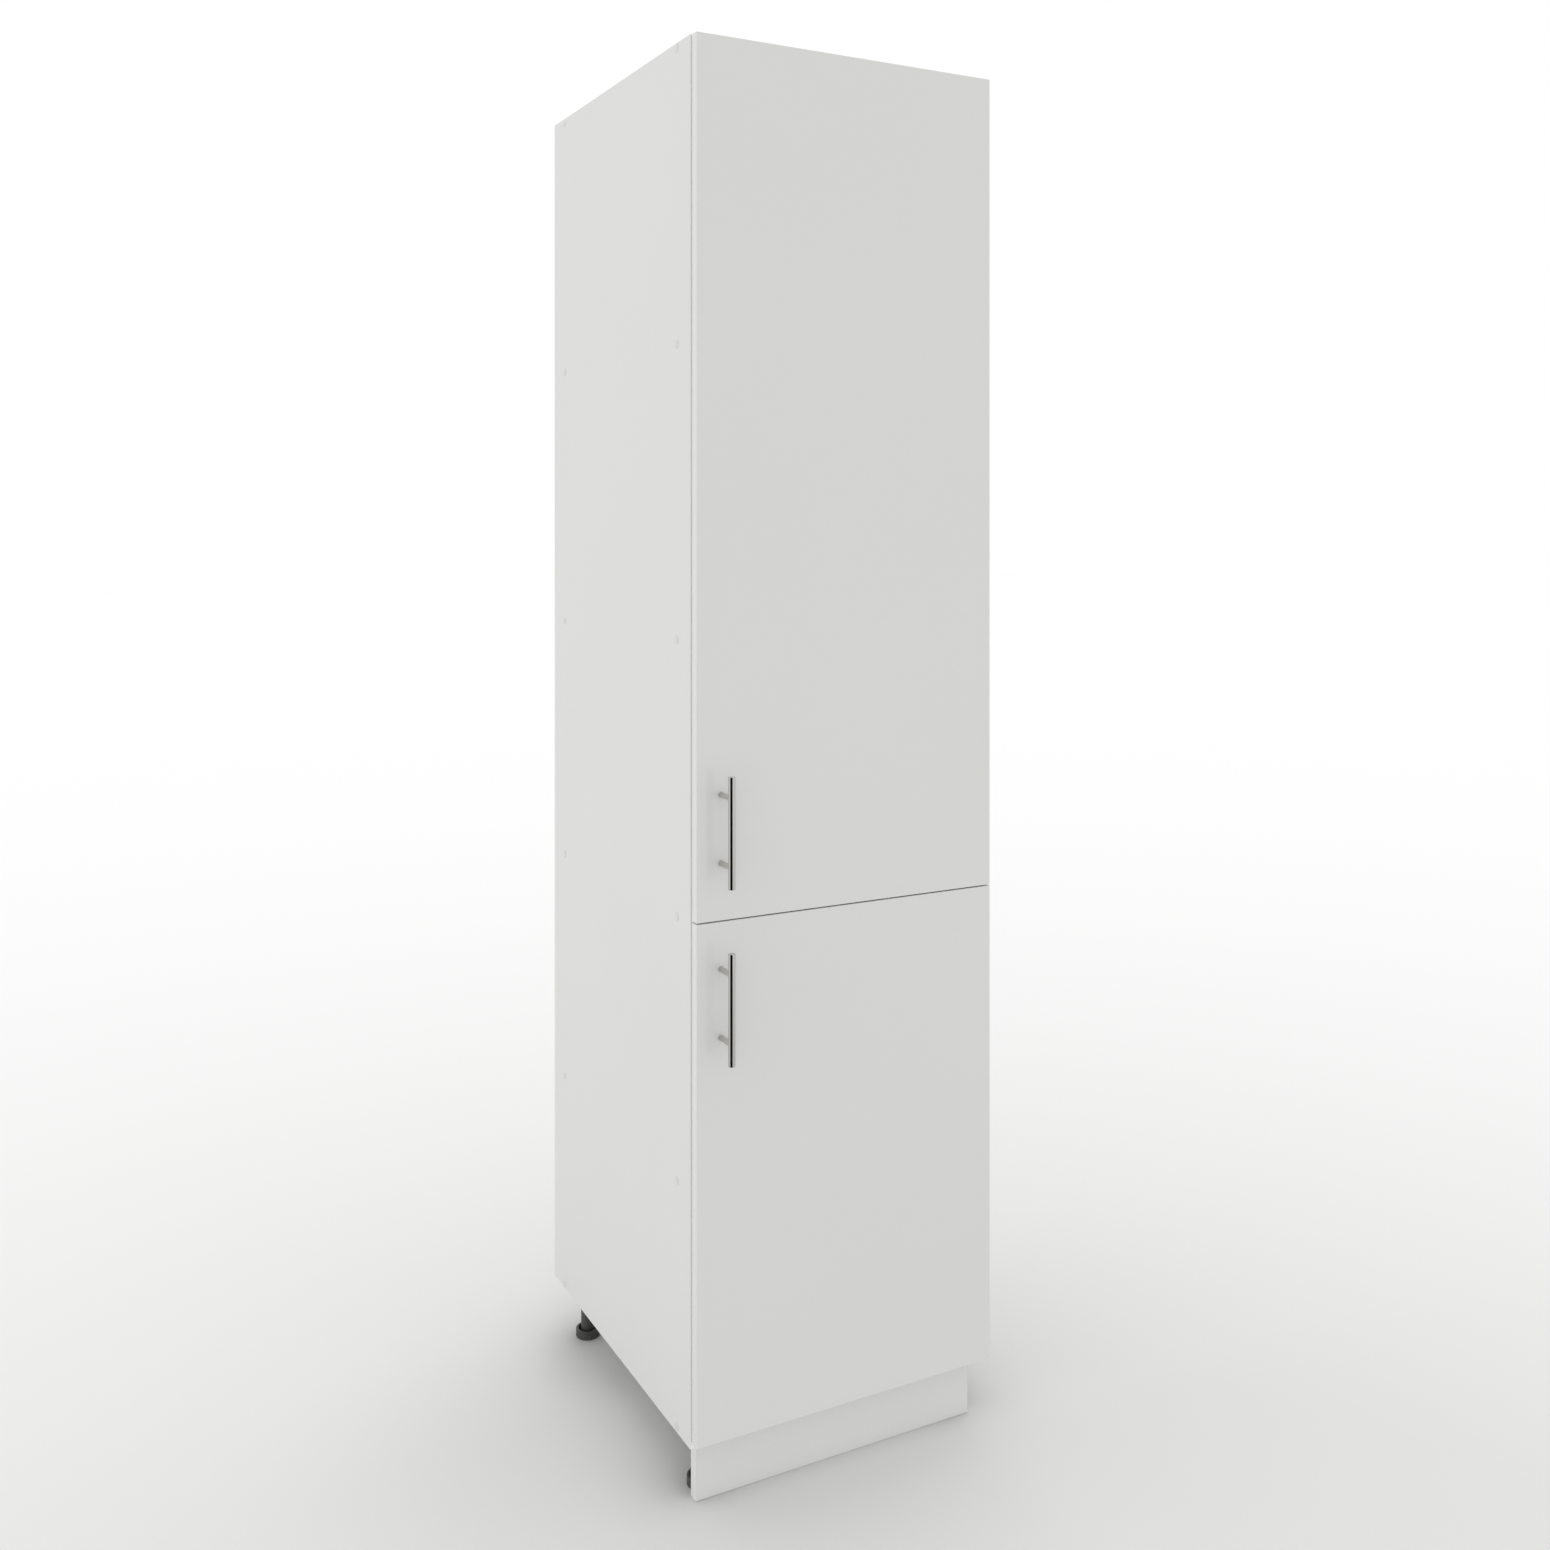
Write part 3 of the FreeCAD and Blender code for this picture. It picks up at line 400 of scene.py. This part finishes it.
def melamineBoard(name, frontY):
    material, tree = newMaterial(name)
    place = addNode(tree, "ShaderNodeTexCoord").outputs["Object"]
    cloud = addNode(tree, "ShaderNodeTexNoise", {"Vector": place}, {"Scale": perMetre(melamine["cloud"])})
    tone = addNode(tree, "ShaderNodeMix", {"Factor": cloud.outputs["Fac"]}, {
        "A": toLinear(melamine["colour"]), "B": toLinear(melamine["shade"])}, data_type="RGBA")
    depth = addNode(tree, "ShaderNodeSeparateXYZ", {0: place}).outputs["Y"]
    line = addNode(tree, "ShaderNodeMath", {0: depth},
                   {1: frontY + melamine["bandThickness"] * mm, 2: melamine["lineWidth"] * mm / 2},
                   operation="COMPARE")
    lined = addNode(tree, "ShaderNodeMix", {"Factor": line.outputs[0], "A": tone.outputs["Result"]},
                    {"B": toLinear(melamine["bandLine"])}, data_type="RGBA")
    onFront = addNode(tree, "ShaderNodeMath", {0: depth}, {1: frontY + melamine["frontSkin"] * mm},
                      operation="LESS_THAN")
    banded = addNode(tree, "ShaderNodeMix", {"Factor": onFront.outputs[0], "A": lined.outputs["Result"]},
                     {"B": toLinear(melamine["band"])}, data_type="RGBA")
    pearl = addNode(tree, "ShaderNodeTexNoise", {"Vector": place}, {"Scale": perMetre(melamine["pearl"])})
    sheen = addNode(tree, "ShaderNodeMapRange", {"Value": pearl.outputs["Fac"]},
                    {"To Min": melamine["roughness"][0], "To Max": melamine["roughness"][1]})
    bump = addNode(tree, "ShaderNodeBump", {"Height": pearl.outputs["Fac"]}, {
        "Strength": melamine["bumpStrength"], "Distance": melamine["bumpHeight"] * mm})
    surface = addNode(tree, "ShaderNodeBsdfPrincipled", {
        "Base Color": banded.outputs["Result"], "Roughness": sheen.outputs["Result"],
        "Normal": bump.outputs["Normal"]}, {"IOR": melamine["ior"]})
    addNode(tree, "ShaderNodeOutputMaterial", {"Surface": surface.outputs[0]})
    return material


# Gloss acrylic film on fibreboard: a clear mirror over flat white, with the faint ripple of the film. The
# upright ends get a lighter tone than the face; on the plinth this is partly its white edging and partly a
# painted highlight for the light its ends catch from the side
gloss = {
    "colour": "#D5D5D2",
    "shade": "#D3D3D1",
    "cloud": 400.0,  # mm
    "doorEndTone": "#D8D8D6",
    # plinth ends: partly white edging, partly painted highlight
    "plinthEndPaintedLight": "#DFDFDD",
    "ripple": 14.0,  # mm
    "roughness": (0.05, 0.09),
    "endSkin": 0.1,  # mm of width that count as the upright end
    "bumpStrength": 0.05,
    "bumpHeight": 0.2,  # mm
    "ior": 1.49,
}


def glossFront(name, endX, endTone):
    material, tree = newMaterial(name)
    place = addNode(tree, "ShaderNodeTexCoord").outputs["Object"]
    cloud = addNode(tree, "ShaderNodeTexNoise", {"Vector": place}, {"Scale": perMetre(gloss["cloud"])})
    tone = addNode(tree, "ShaderNodeMix", {"Factor": cloud.outputs["Fac"]}, {
        "A": toLinear(gloss["colour"]), "B": toLinear(gloss["shade"])}, data_type="RGBA")
    across = addNode(tree, "ShaderNodeSeparateXYZ", {0: place}).outputs["X"]
    across = addNode(tree, "ShaderNodeMath", {0: across}, operation="ABSOLUTE")
    # the upright ends take the end tone, on the plinth a painted highlight
    onEnd = addNode(tree, "ShaderNodeMath", {0: across.outputs[0]}, {1: endX - gloss["endSkin"] * mm},
                    operation="GREATER_THAN")
    endToned = addNode(tree, "ShaderNodeMix", {"Factor": onEnd.outputs[0], "A": tone.outputs["Result"]},
                    {"B": toLinear(endTone)}, data_type="RGBA")
    ripple = addNode(tree, "ShaderNodeTexNoise", {"Vector": place},
                     {"Scale": perMetre(gloss["ripple"]), "Detail": 1.0})
    sheen = addNode(tree, "ShaderNodeMapRange", {"Value": ripple.outputs["Fac"]},
                    {"To Min": gloss["roughness"][0], "To Max": gloss["roughness"][1]})
    bump = addNode(tree, "ShaderNodeBump", {"Height": ripple.outputs["Fac"]}, {
        "Strength": gloss["bumpStrength"], "Distance": gloss["bumpHeight"] * mm})
    surface = addNode(tree, "ShaderNodeBsdfPrincipled", {
        "Base Color": endToned.outputs["Result"], "Roughness": sheen.outputs["Result"],
        "Normal": bump.outputs["Normal"]}, {"IOR": gloss["ior"]})
    addNode(tree, "ShaderNodeOutputMaterial", {"Surface": surface.outputs[0]})
    return material


# Hardboard: pressed wood fibre, painted white on the inside; behind, a thin pale paper
# lets the fibre show through
hardboard = {
    "paint": "#DAD9D5",
    "paper": "#D4D3CE",
    "fibre": "#C6C4BC",
    "fibreSize": (2.0, 2.0, 7.0),  # mm, longest along the sheet
    "fibreShows": (0.35, 0.75),  # where in the pattern the fibre starts and is full
    "skin": 0.4,  # mm of the thickness that the rear paper covers
    "roughness": (0.45, 0.8),  # of the paint and of the paper
    "bumpStrength": 0.15,
    "bumpHeight": 0.2,  # mm
}


def hardboardSheet(name, rearY):
    material, tree = newMaterial(name)
    place = addNode(tree, "ShaderNodeTexCoord").outputs["Object"]
    stretched = addNode(tree, "ShaderNodeVectorMath", {0: place},
                        {1: [perMetre(size) for size in hardboard["fibreSize"]]}, operation="MULTIPLY")
    fibre = addNode(tree, "ShaderNodeTexNoise", {"Vector": stretched.outputs[0]},
                    {"Scale": 1.0, "Detail": 5.0, "Roughness": 0.65})
    share = addNode(tree, "ShaderNodeMapRange", {"Value": fibre.outputs["Fac"]}, {
        "From Min": hardboard["fibreShows"][0], "From Max": hardboard["fibreShows"][1]})
    paper = addNode(tree, "ShaderNodeMix", {"Factor": share.outputs["Result"]}, {
        "A": toLinear(hardboard["paper"]), "B": toLinear(hardboard["fibre"])}, data_type="RGBA")
    depth = addNode(tree, "ShaderNodeSeparateXYZ", {0: place}).outputs["Y"]
    behind = addNode(tree, "ShaderNodeMath", {0: depth}, {1: rearY - hardboard["skin"] * mm},
                     operation="GREATER_THAN")
    tone = addNode(tree, "ShaderNodeMix", {"Factor": behind.outputs[0], "B": paper.outputs["Result"]},
                   {"A": toLinear(hardboard["paint"])}, data_type="RGBA")
    rough = addNode(tree, "ShaderNodeMapRange", {"Value": behind.outputs[0]}, {
        "To Min": hardboard["roughness"][0], "To Max": hardboard["roughness"][1]})
    bump = addNode(tree, "ShaderNodeBump", {"Height": fibre.outputs["Fac"]}, {
        "Strength": hardboard["bumpStrength"], "Distance": hardboard["bumpHeight"] * mm})
    surface = addNode(tree, "ShaderNodeBsdfPrincipled", {
        "Base Color": tone.outputs["Result"], "Roughness": rough.outputs["Result"],
        "Normal": bump.outputs["Normal"]})
    addNode(tree, "ShaderNodeOutputMaterial", {"Surface": surface.outputs[0]})
    return material


# Metals: each has its tone, and a fine pattern in its roughness from how it was finished
metals = {
    "polished steel": {"colour": "#C4C3BF", "shade": "#B9B8B4", "grain": (0.5, 0.5, 40.0),
                       "roughness": (0.05, 0.09)},
    "satin steel": {"colour": "#D2D1CD", "shade": "#C9C8C4", "grain": (0.6, 0.6, 0.6),
                    "roughness": (0.35, 0.45)},
    "nickel plate": {"colour": "#D9D6CF", "shade": "#D0CDC6", "grain": (2.0, 2.0, 2.0),
                     "roughness": (0.2, 0.28)},
    "zinc plate": {"colour": "#C6CACE", "shade": "#B9BEC3", "grain": (3.0, 3.0, 3.0),
                   "roughness": (0.28, 0.4)},
}


def metal(name):
    # the grain is its size in mm along each axis
    look = metals[name]
    material, tree = newMaterial(name)
    place = addNode(tree, "ShaderNodeTexCoord").outputs["Object"]
    stretched = addNode(tree, "ShaderNodeVectorMath", {0: place},
                        {1: [perMetre(size) for size in look["grain"]]}, operation="MULTIPLY")
    grain = addNode(tree, "ShaderNodeTexNoise", {"Vector": stretched.outputs[0]},
                    {"Scale": 1.0, "Detail": 3.0})
    tone = addNode(tree, "ShaderNodeMix", {"Factor": grain.outputs["Fac"]}, {
        "A": toLinear(look["colour"]), "B": toLinear(look["shade"])}, data_type="RGBA")
    rough = addNode(tree, "ShaderNodeMapRange", {"Value": grain.outputs["Fac"]},
                    {"To Min": look["roughness"][0], "To Max": look["roughness"][1]})
    surface = addNode(tree, "ShaderNodeBsdfPrincipled", {
        "Base Color": tone.outputs["Result"], "Roughness": rough.outputs["Result"]}, {"Metallic": 1.0})
    addNode(tree, "ShaderNodeOutputMaterial", {"Surface": surface.outputs[0]})
    return material


# Moulded plastics: the tool's fine spark-eroded skin breaks up the sheen
skinDepth = 0.2  # mm
plastics = {
    "black polypropylene": {"colour": "#4B4C47", "shade": "#42433F", "skin": 0.8, "roughness": (0.4, 0.55),
                            "bump": 0.15, "clear": 0.0},
    "white polystyrene": {"colour": "#D2D2CF", "shade": "#CECECB", "skin": 0.8, "roughness": (0.3, 0.4),
                          "bump": 0.05, "clear": 0.0},
    "clear polyurethane": {"colour": "#E9ECEB", "shade": "#E2E6E5", "skin": 0.8, "roughness": (0.15, 0.25),
                           "bump": 0.05, "clear": 0.7},
}


def plastic(name):
    look = plastics[name]
    material, tree = newMaterial(name)
    place = addNode(tree, "ShaderNodeTexCoord").outputs["Object"]
    skin = addNode(tree, "ShaderNodeTexNoise", {"Vector": place},
                   {"Scale": perMetre(look["skin"]), "Detail": 2.0})
    tone = addNode(tree, "ShaderNodeMix", {"Factor": skin.outputs["Fac"]}, {
        "A": toLinear(look["colour"]), "B": toLinear(look["shade"])}, data_type="RGBA")
    rough = addNode(tree, "ShaderNodeMapRange", {"Value": skin.outputs["Fac"]},
                    {"To Min": look["roughness"][0], "To Max": look["roughness"][1]})
    bump = addNode(tree, "ShaderNodeBump", {"Height": skin.outputs["Fac"]},
                   {"Strength": look["bump"], "Distance": skinDepth * mm})
    surface = addNode(tree, "ShaderNodeBsdfPrincipled", {
        "Base Color": tone.outputs["Result"], "Roughness": rough.outputs["Result"],
        "Normal": bump.outputs["Normal"]}, {"Transmission Weight": look["clear"]})
    addNode(tree, "ShaderNodeOutputMaterial", {"Surface": surface.outputs[0]})
    return material


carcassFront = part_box("side_panel_left")[0].y
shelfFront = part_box("lower_shelf")[0].y
steel = metal("polished steel")
satinSteel = metal("satin steel")
nickel = metal("nickel plate")
zinc = metal("zinc plate")
blackPlastic = plastic("black polypropylene")
whitePlastic = plastic("white polystyrene")
clearPlastic = plastic("clear polyurethane")
carcassBoard = melamineBoard("melamine carcass board", carcassFront)
shelfBoard = melamineBoard("melamine shelf board", shelfFront)
doorFilm = glossFront("gloss acrylic film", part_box("upper_door_panel")[1].x, gloss["doorEndTone"])
# the plinth's film, with a painted highlight on its upright ends
plinthFilm = glossFront("gloss acrylic plinth film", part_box("plinth_board")[1].x, gloss["plinthEndPaintedLight"])
backSheet = hardboardSheet("painted hardboard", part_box("back_panel")[1].y)

finishes = {
    "side_panel": carcassBoard, "bottom_panel": carcassBoard, "middle_shelf": carcassBoard,
    "top_panel": carcassBoard, "lower_shelf": shelfBoard, "upper_shelf": shelfBoard,
    "back_panel": backSheet, "carcass_screws": zinc, "wall_bracket": zinc, "bracket_screws": zinc,
    "leg_screws": zinc, "leg_": blackPlastic, "foot_": blackPlastic, "plinth_board": plinthFilm,
    "plinth_clip_screws": zinc, "plinth_clip": blackPlastic, "door_panel": doorFilm,
    "door_bumpers": clearPlastic, "handle_bar": steel, "handle_posts": steel, "handle_screws": zinc,
    "hinge_plate_screws": nickel, "hinge_": nickel, "links": nickel, "pins": nickel, "cup_screws": nickel,
}
for name, node in nodes.items():
    finish = next(finishes[part] for part in finishes if part in name)  # the first name that fits
    for index in range(len(node.data.materials)):
        node.data.materials[index] = finish
print("finishes on", len(nodes), "nodes")

# Bar handles: a round bar with softly broken ends on two posts that are hollowed to its curve
handle = {
    "endRound": 0.7,  # mm
    "footRound": 0.3,
    "footShare": 0.03,  # of the post's length that the rounding takes
    "columns": 96,
}
for door in ("upper", "lower"):
    body = door + "_door"
    low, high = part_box(door + "_handle_bar")
    barRadius, barLength = (high.x - low.x) / 2, high.z - low.z
    barX, barY = (low.x + high.x) / 2, (low.y + high.y) / 2
    profile = rounded([(0, 0, 0), (barRadius, 0, handle["endRound"] * mm),
                       (barRadius, barLength, handle["endRound"] * mm), (0, barLength, 0)])
    grid = turned(profile, handle["columns"])
    bar = makePiece(door + "_bar", aimed(grid, [(barX, barY, low.z)], "up"), steel, body)
    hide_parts(door + "_handle_bar")

    # a post: rings from the door's face to the bar, the last one bent to lie on the bar's round
    low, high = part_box(door + "_handle_posts")
    postRadius = (high.x - low.x) / 2
    angle = np.linspace(0, 2 * math.pi, handle["columns"], endpoint=False)
    ring = np.stack([postRadius * np.cos(angle), np.zeros_like(angle), postRadius * np.sin(angle)], axis=-1)
    saddleY = barY + np.sqrt(barRadius ** 2 - ring[:, 0] ** 2) - high.y  # from the door's face, along Y
    # the first and last ring shrink to a point
    share = np.array([0, 0, handle["footShare"], 0.5, 1, 1])[:, None]
    size = np.array([0, 1 - handle["footRound"] * mm / postRadius, 1, 1, 1, 0])[:, None]
    post = np.stack([ring[:, 0] * size, saddleY * share, ring[:, 2] * size], axis=-1)
    places = [(barX, high.y, z) for z in (low.z + postRadius, high.z - postRadius)]
    posts = makePiece(door + "_posts", aimed(post, places, "up"), satinSteel, body)
    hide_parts(door + "_handle_posts")
print("handles made")

# Screws: pan heads with a cross recess; a groove's depth runs out at its ends and its sides
screwKinds = {  # mm
    "wood": {"headRadius": 3.5, "headHeight": 1.5, "shankRadius": 1.75, "length": 11.0},
    "plate": {"headRadius": 4.5, "headHeight": 1.8, "shankRadius": 2.5, "length": 13.0},
    "handle": {"headRadius": 4.2, "headHeight": 2.2, "shankRadius": 2.0, "length": 34.0},
    "adjuster": {"headRadius": 3.1, "headHeight": 0.9, "shankRadius": 2.0, "length": 1.0},
}
recess = {
    "reach": 0.66,  # shares of the head's radius
    "halfWidth": 0.15,
    "depth": 0.3,
    "edgeRound": 0.3,
    "edgeLimit": 0.9,  # share of the head's height that its round may take
    "endSlope": 0.35,  # shares of a groove's reach and half width on which it runs out
    "sideSlope": 0.4,
    "rings": 14,
    "columns": 56,
}


def crossScrew(kind):
    # a (radius, height) profile carried round the axis, its flat top sunk along two crossed grooves
    size = {name: value * mm for name, value in screwKinds[kind].items()}
    radius, top = size["headRadius"], -size["headHeight"]
    edge = min(recess["edgeRound"] * radius, recess["edgeLimit"] * size["headHeight"])
    flatTop = np.linspace(0, radius - edge, recess["rings"], endpoint=False)
    rest = rounded([(0, top, 0), (radius, top, edge), (radius, 0, 0), (size["shankRadius"], 0, 0),
                    (size["shankRadius"], size["length"] - size["shankRadius"], 0), (0, size["length"], 0)])
    profile = np.concatenate([np.stack([flatTop, np.full_like(flatTop, top)], axis=-1), rest[1:]])
    grid = turned(profile, recess["columns"])
    across = np.abs(grid[:recess["rings"], :, :2])
    along, aside = across.max(axis=-1) / radius, across.min(axis=-1) / radius
    ends = np.clip((recess["reach"] - along) / (recess["endSlope"] * recess["reach"]), 0, 1)
    sides = np.clip((recess["halfWidth"] - aside) / (recess["sideSlope"] * recess["halfWidth"]), 0, 1)
    grid[:recess["rings"], :, 2] += ends * sides * recess["depth"] * radius
    return grid


def screws(name, kind, starts, along, material, body, node=None):
    piece = makePiece(name, aimed(crossScrew(kind), starts, along), material, body)
    if node:
        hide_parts(node)


axes = {"up": (0, 0, 1), "front": (0, -1, 0), "right": (1, 0, 0)}
screwNodes = [
    # node, kind, direction, metal, body
    ("leg_screws", "wood", "up", zinc, "carcass"),
    ("bracket_screws", "wood", "up", zinc, "carcass"),
    ("plinth_clip_screws", "wood", "front", zinc, "plinth"),
    ("upper_cup_screws", "wood", "front", nickel, "upper_door"),
    ("lower_cup_screws", "wood", "front", nickel, "lower_door"),
    ("hinge_plate_screws", "plate", "right", nickel, "carcass"),
]
for node, kind, along, material, body in screwNodes:
    axis = int(np.argmax(np.abs(axes[along])))
    points = furthest(node, axis, axes[along][axis])
    starts = points - np.array(axes[along]) * screwKinds[kind]["length"] * mm
    screws(node + "_heads", kind, starts, along, material, body, node)
for door in ("upper", "lower"):
    low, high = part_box(door + "_handle_posts")
    postRadius = (high.x - low.x) / 2
    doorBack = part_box(door + "_door_panel")[1].y
    starts = [((low.x + high.x) / 2, doorBack, z) for z in (low.z + postRadius, high.z - postRadius)]
    screws(door + "_handle_screw_heads", "handle", starts, "front", zinc, door + "_door",
           door + "_handle_screws")
print("screws made")

# Hinge arms: the two adjusting screws in the web, one to move the door sideways and one to clamp its depth
adjusters = {"fromRear": (8.0, 21.0)}  # mm
for name in [name for name in nodes if "hinge_arm" in name]:
    low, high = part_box(name)
    corners = nodeCorners(name)
    webX = corners[corners[:, 1] > high.y - samePlane, 0].min()
    starts = [(webX, high.y - distance * mm, (low.z + high.z) / 2) for distance in adjusters["fromRear"]]
    screws(name.replace("arm", "adjusters"), "adjuster", starts, "right", zinc, "carcass")

# Cover caps over the connecting screws on both sides: shallow discs with a rounded rim
cap = {"radius": 6.0, "height": 0.6, "round": 0.4, "screwLength": 50.0}  # mm
profile = rounded([(0, 0, 0), (cap["radius"] * mm, 0, 0),
                   (cap["radius"] * mm, cap["height"] * mm, cap["round"] * mm), (0, cap["height"] * mm, 0)])
screwCorners = nodeCorners("carcass_screws")
for side, along in ((-1, "left"), (1, "right")):
    outer = screwCorners[:, 0].max() * side
    tipX = outer - side * cap["screwLength"] * mm
    tips = screwCorners[np.abs(screwCorners[:, 0] - tipX) < samePlane]
    tips = np.unique(np.round(tips, placeDigits), axis=0)
    places = [(outer, y, z) for x, y, z in tips]
    makePiece("cover_caps_" + along, aimed(turned(profile), places, along), whitePlastic, "carcass")

# Pins round the back sheet: flat heads, driven level into the edges of the boards
pin = {"radius": 1.8, "height": 0.35, "round": 0.2, "inset": 7.0, "spacing": 125.0}  # mm
pinGrid = {"steps": 3, "columns": 20}
low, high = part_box("back_panel")
inset = pin["inset"] * mm
acrossPins = np.linspace(low.x + inset, high.x - inset, round((high.x - low.x) / (pin["spacing"] * mm)) + 1)
upPins = np.linspace(low.z + inset, high.z - inset, round((high.z - low.z) / (pin["spacing"] * mm)) + 1)
places = [(x, high.y, z) for x in acrossPins for z in (upPins[0], upPins[-1])]
places += [(x, high.y, z) for z in upPins[1:-1] for x in (acrossPins[0], acrossPins[-1])]
profile = rounded([(0, 0, 0), (pin["radius"] * mm, 0, 0),
                   (pin["radius"] * mm, pin["height"] * mm, pin["round"] * mm), (0, pin["height"] * mm, 0)],
                  pinGrid["steps"])
makePiece("back_pins", aimed(turned(profile, pinGrid["columns"]), places, "back"), zinc, "carcass")

# Feet: a cup with a fluted grip that turns on the stem; the flutes run out before the top and bottom
foot = {  # mm, where no other unit is named
    "round": 1.2,
    "rim": 4.0,
    "recessFloor": 5.0,
    "rimHeight": 14.0,
    "stemRadius": 8.0,
    "flutes": 24,
    "fluteDepth": 0.55,
    "fluteRunOut": 0.5,  # power of the curve in which the flutes run out
    "onWallWithin": 0.001,
    "wallRings": 9,
    "columns": 240,
}
for corner in footCorners:
    low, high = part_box("foot_" + corner)
    radius, stemTop = (high.x - low.x) / 2, high.z - low.z
    rimInner, rimTop = radius - foot["rim"] * mm, foot["rimHeight"] * mm
    edge, stem, recessFloor = foot["round"] * mm, foot["stemRadius"] * mm, foot["recessFloor"] * mm
    wall = np.stack([np.full(foot["wallRings"], radius),
                     np.linspace(edge, rimTop - edge, foot["wallRings"])], axis=-1)
    under = rounded([(0, 0, 0), (radius, 0, edge), (radius, rimTop / 2, 0)])[:-1]
    over = rounded([(radius, rimTop / 2, 0), (radius, rimTop, edge), (rimInner, rimTop, edge / 2),
                    (rimInner, recessFloor, edge), (stem, recessFloor, edge), (stem, stemTop, 0),
                    (0, stemTop, 0)])[1:]
    grid = turned(np.concatenate([under, wall[1:-1], over]), foot["columns"])
    angle = np.linspace(0, 2 * math.pi, foot["columns"], endpoint=False)
    height = grid[:, 0, 2] / rimTop
    onWall = np.hypot(grid[:, 0, 0], grid[:, 0, 1]) > radius - foot["onWallWithin"] * mm
    onWall = onWall * np.clip(4 * height * (1 - height), 0, 1) ** foot["fluteRunOut"]
    flute = (0.5 + 0.5 * np.cos(foot["flutes"] * angle)) ** 2 * foot["fluteDepth"] * mm / radius
    grid[..., :2] *= 1 - (onWall[:, None] * flute)[..., None]
    places = [((low.x + high.x) / 2, (low.y + high.y) / 2, low.z)]
    piece = makePiece("foot_cup_" + corner, aimed(grid, places, "up"), blackPlastic, "foot_" + corner)
    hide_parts("foot_" + corner)

# Bumpers: soft domes on the doors' inner faces
bumper = {
    "straightShare": 0.25,  # of the height, below the dome
    "fullness": 0.6,  # power of the cosine: 1 is a half ellipse, less is fuller
    "rings": 12,
    "columns": 40,
}
for door in ("upper", "lower"):
    low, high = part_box(door + "_door_bumpers")
    radius, height = (high.x - low.x) / 2, high.y - low.y
    turn = np.linspace(0, math.pi / 2, bumper["rings"])
    rise = bumper["straightShare"] + (1 - bumper["straightShare"]) * np.sin(turn)
    dome = np.stack([radius * np.cos(turn) ** bumper["fullness"], height * rise], axis=-1)
    profile = np.concatenate([[[0, 0], [radius, 0]], dome])
    places = [((low.x + high.x) / 2, low.y, z) for z in (low.z + radius, high.z - radius)]
    domes = aimed(turned(profile, bumper["columns"]), places, "back")
    bumpers = makePiece(door + "_bumper_domes", domes, clearPlastic, door + "_door")
    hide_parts(door + "_door_bumpers")
print("caps, pins, feet and bumpers made")

low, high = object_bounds()
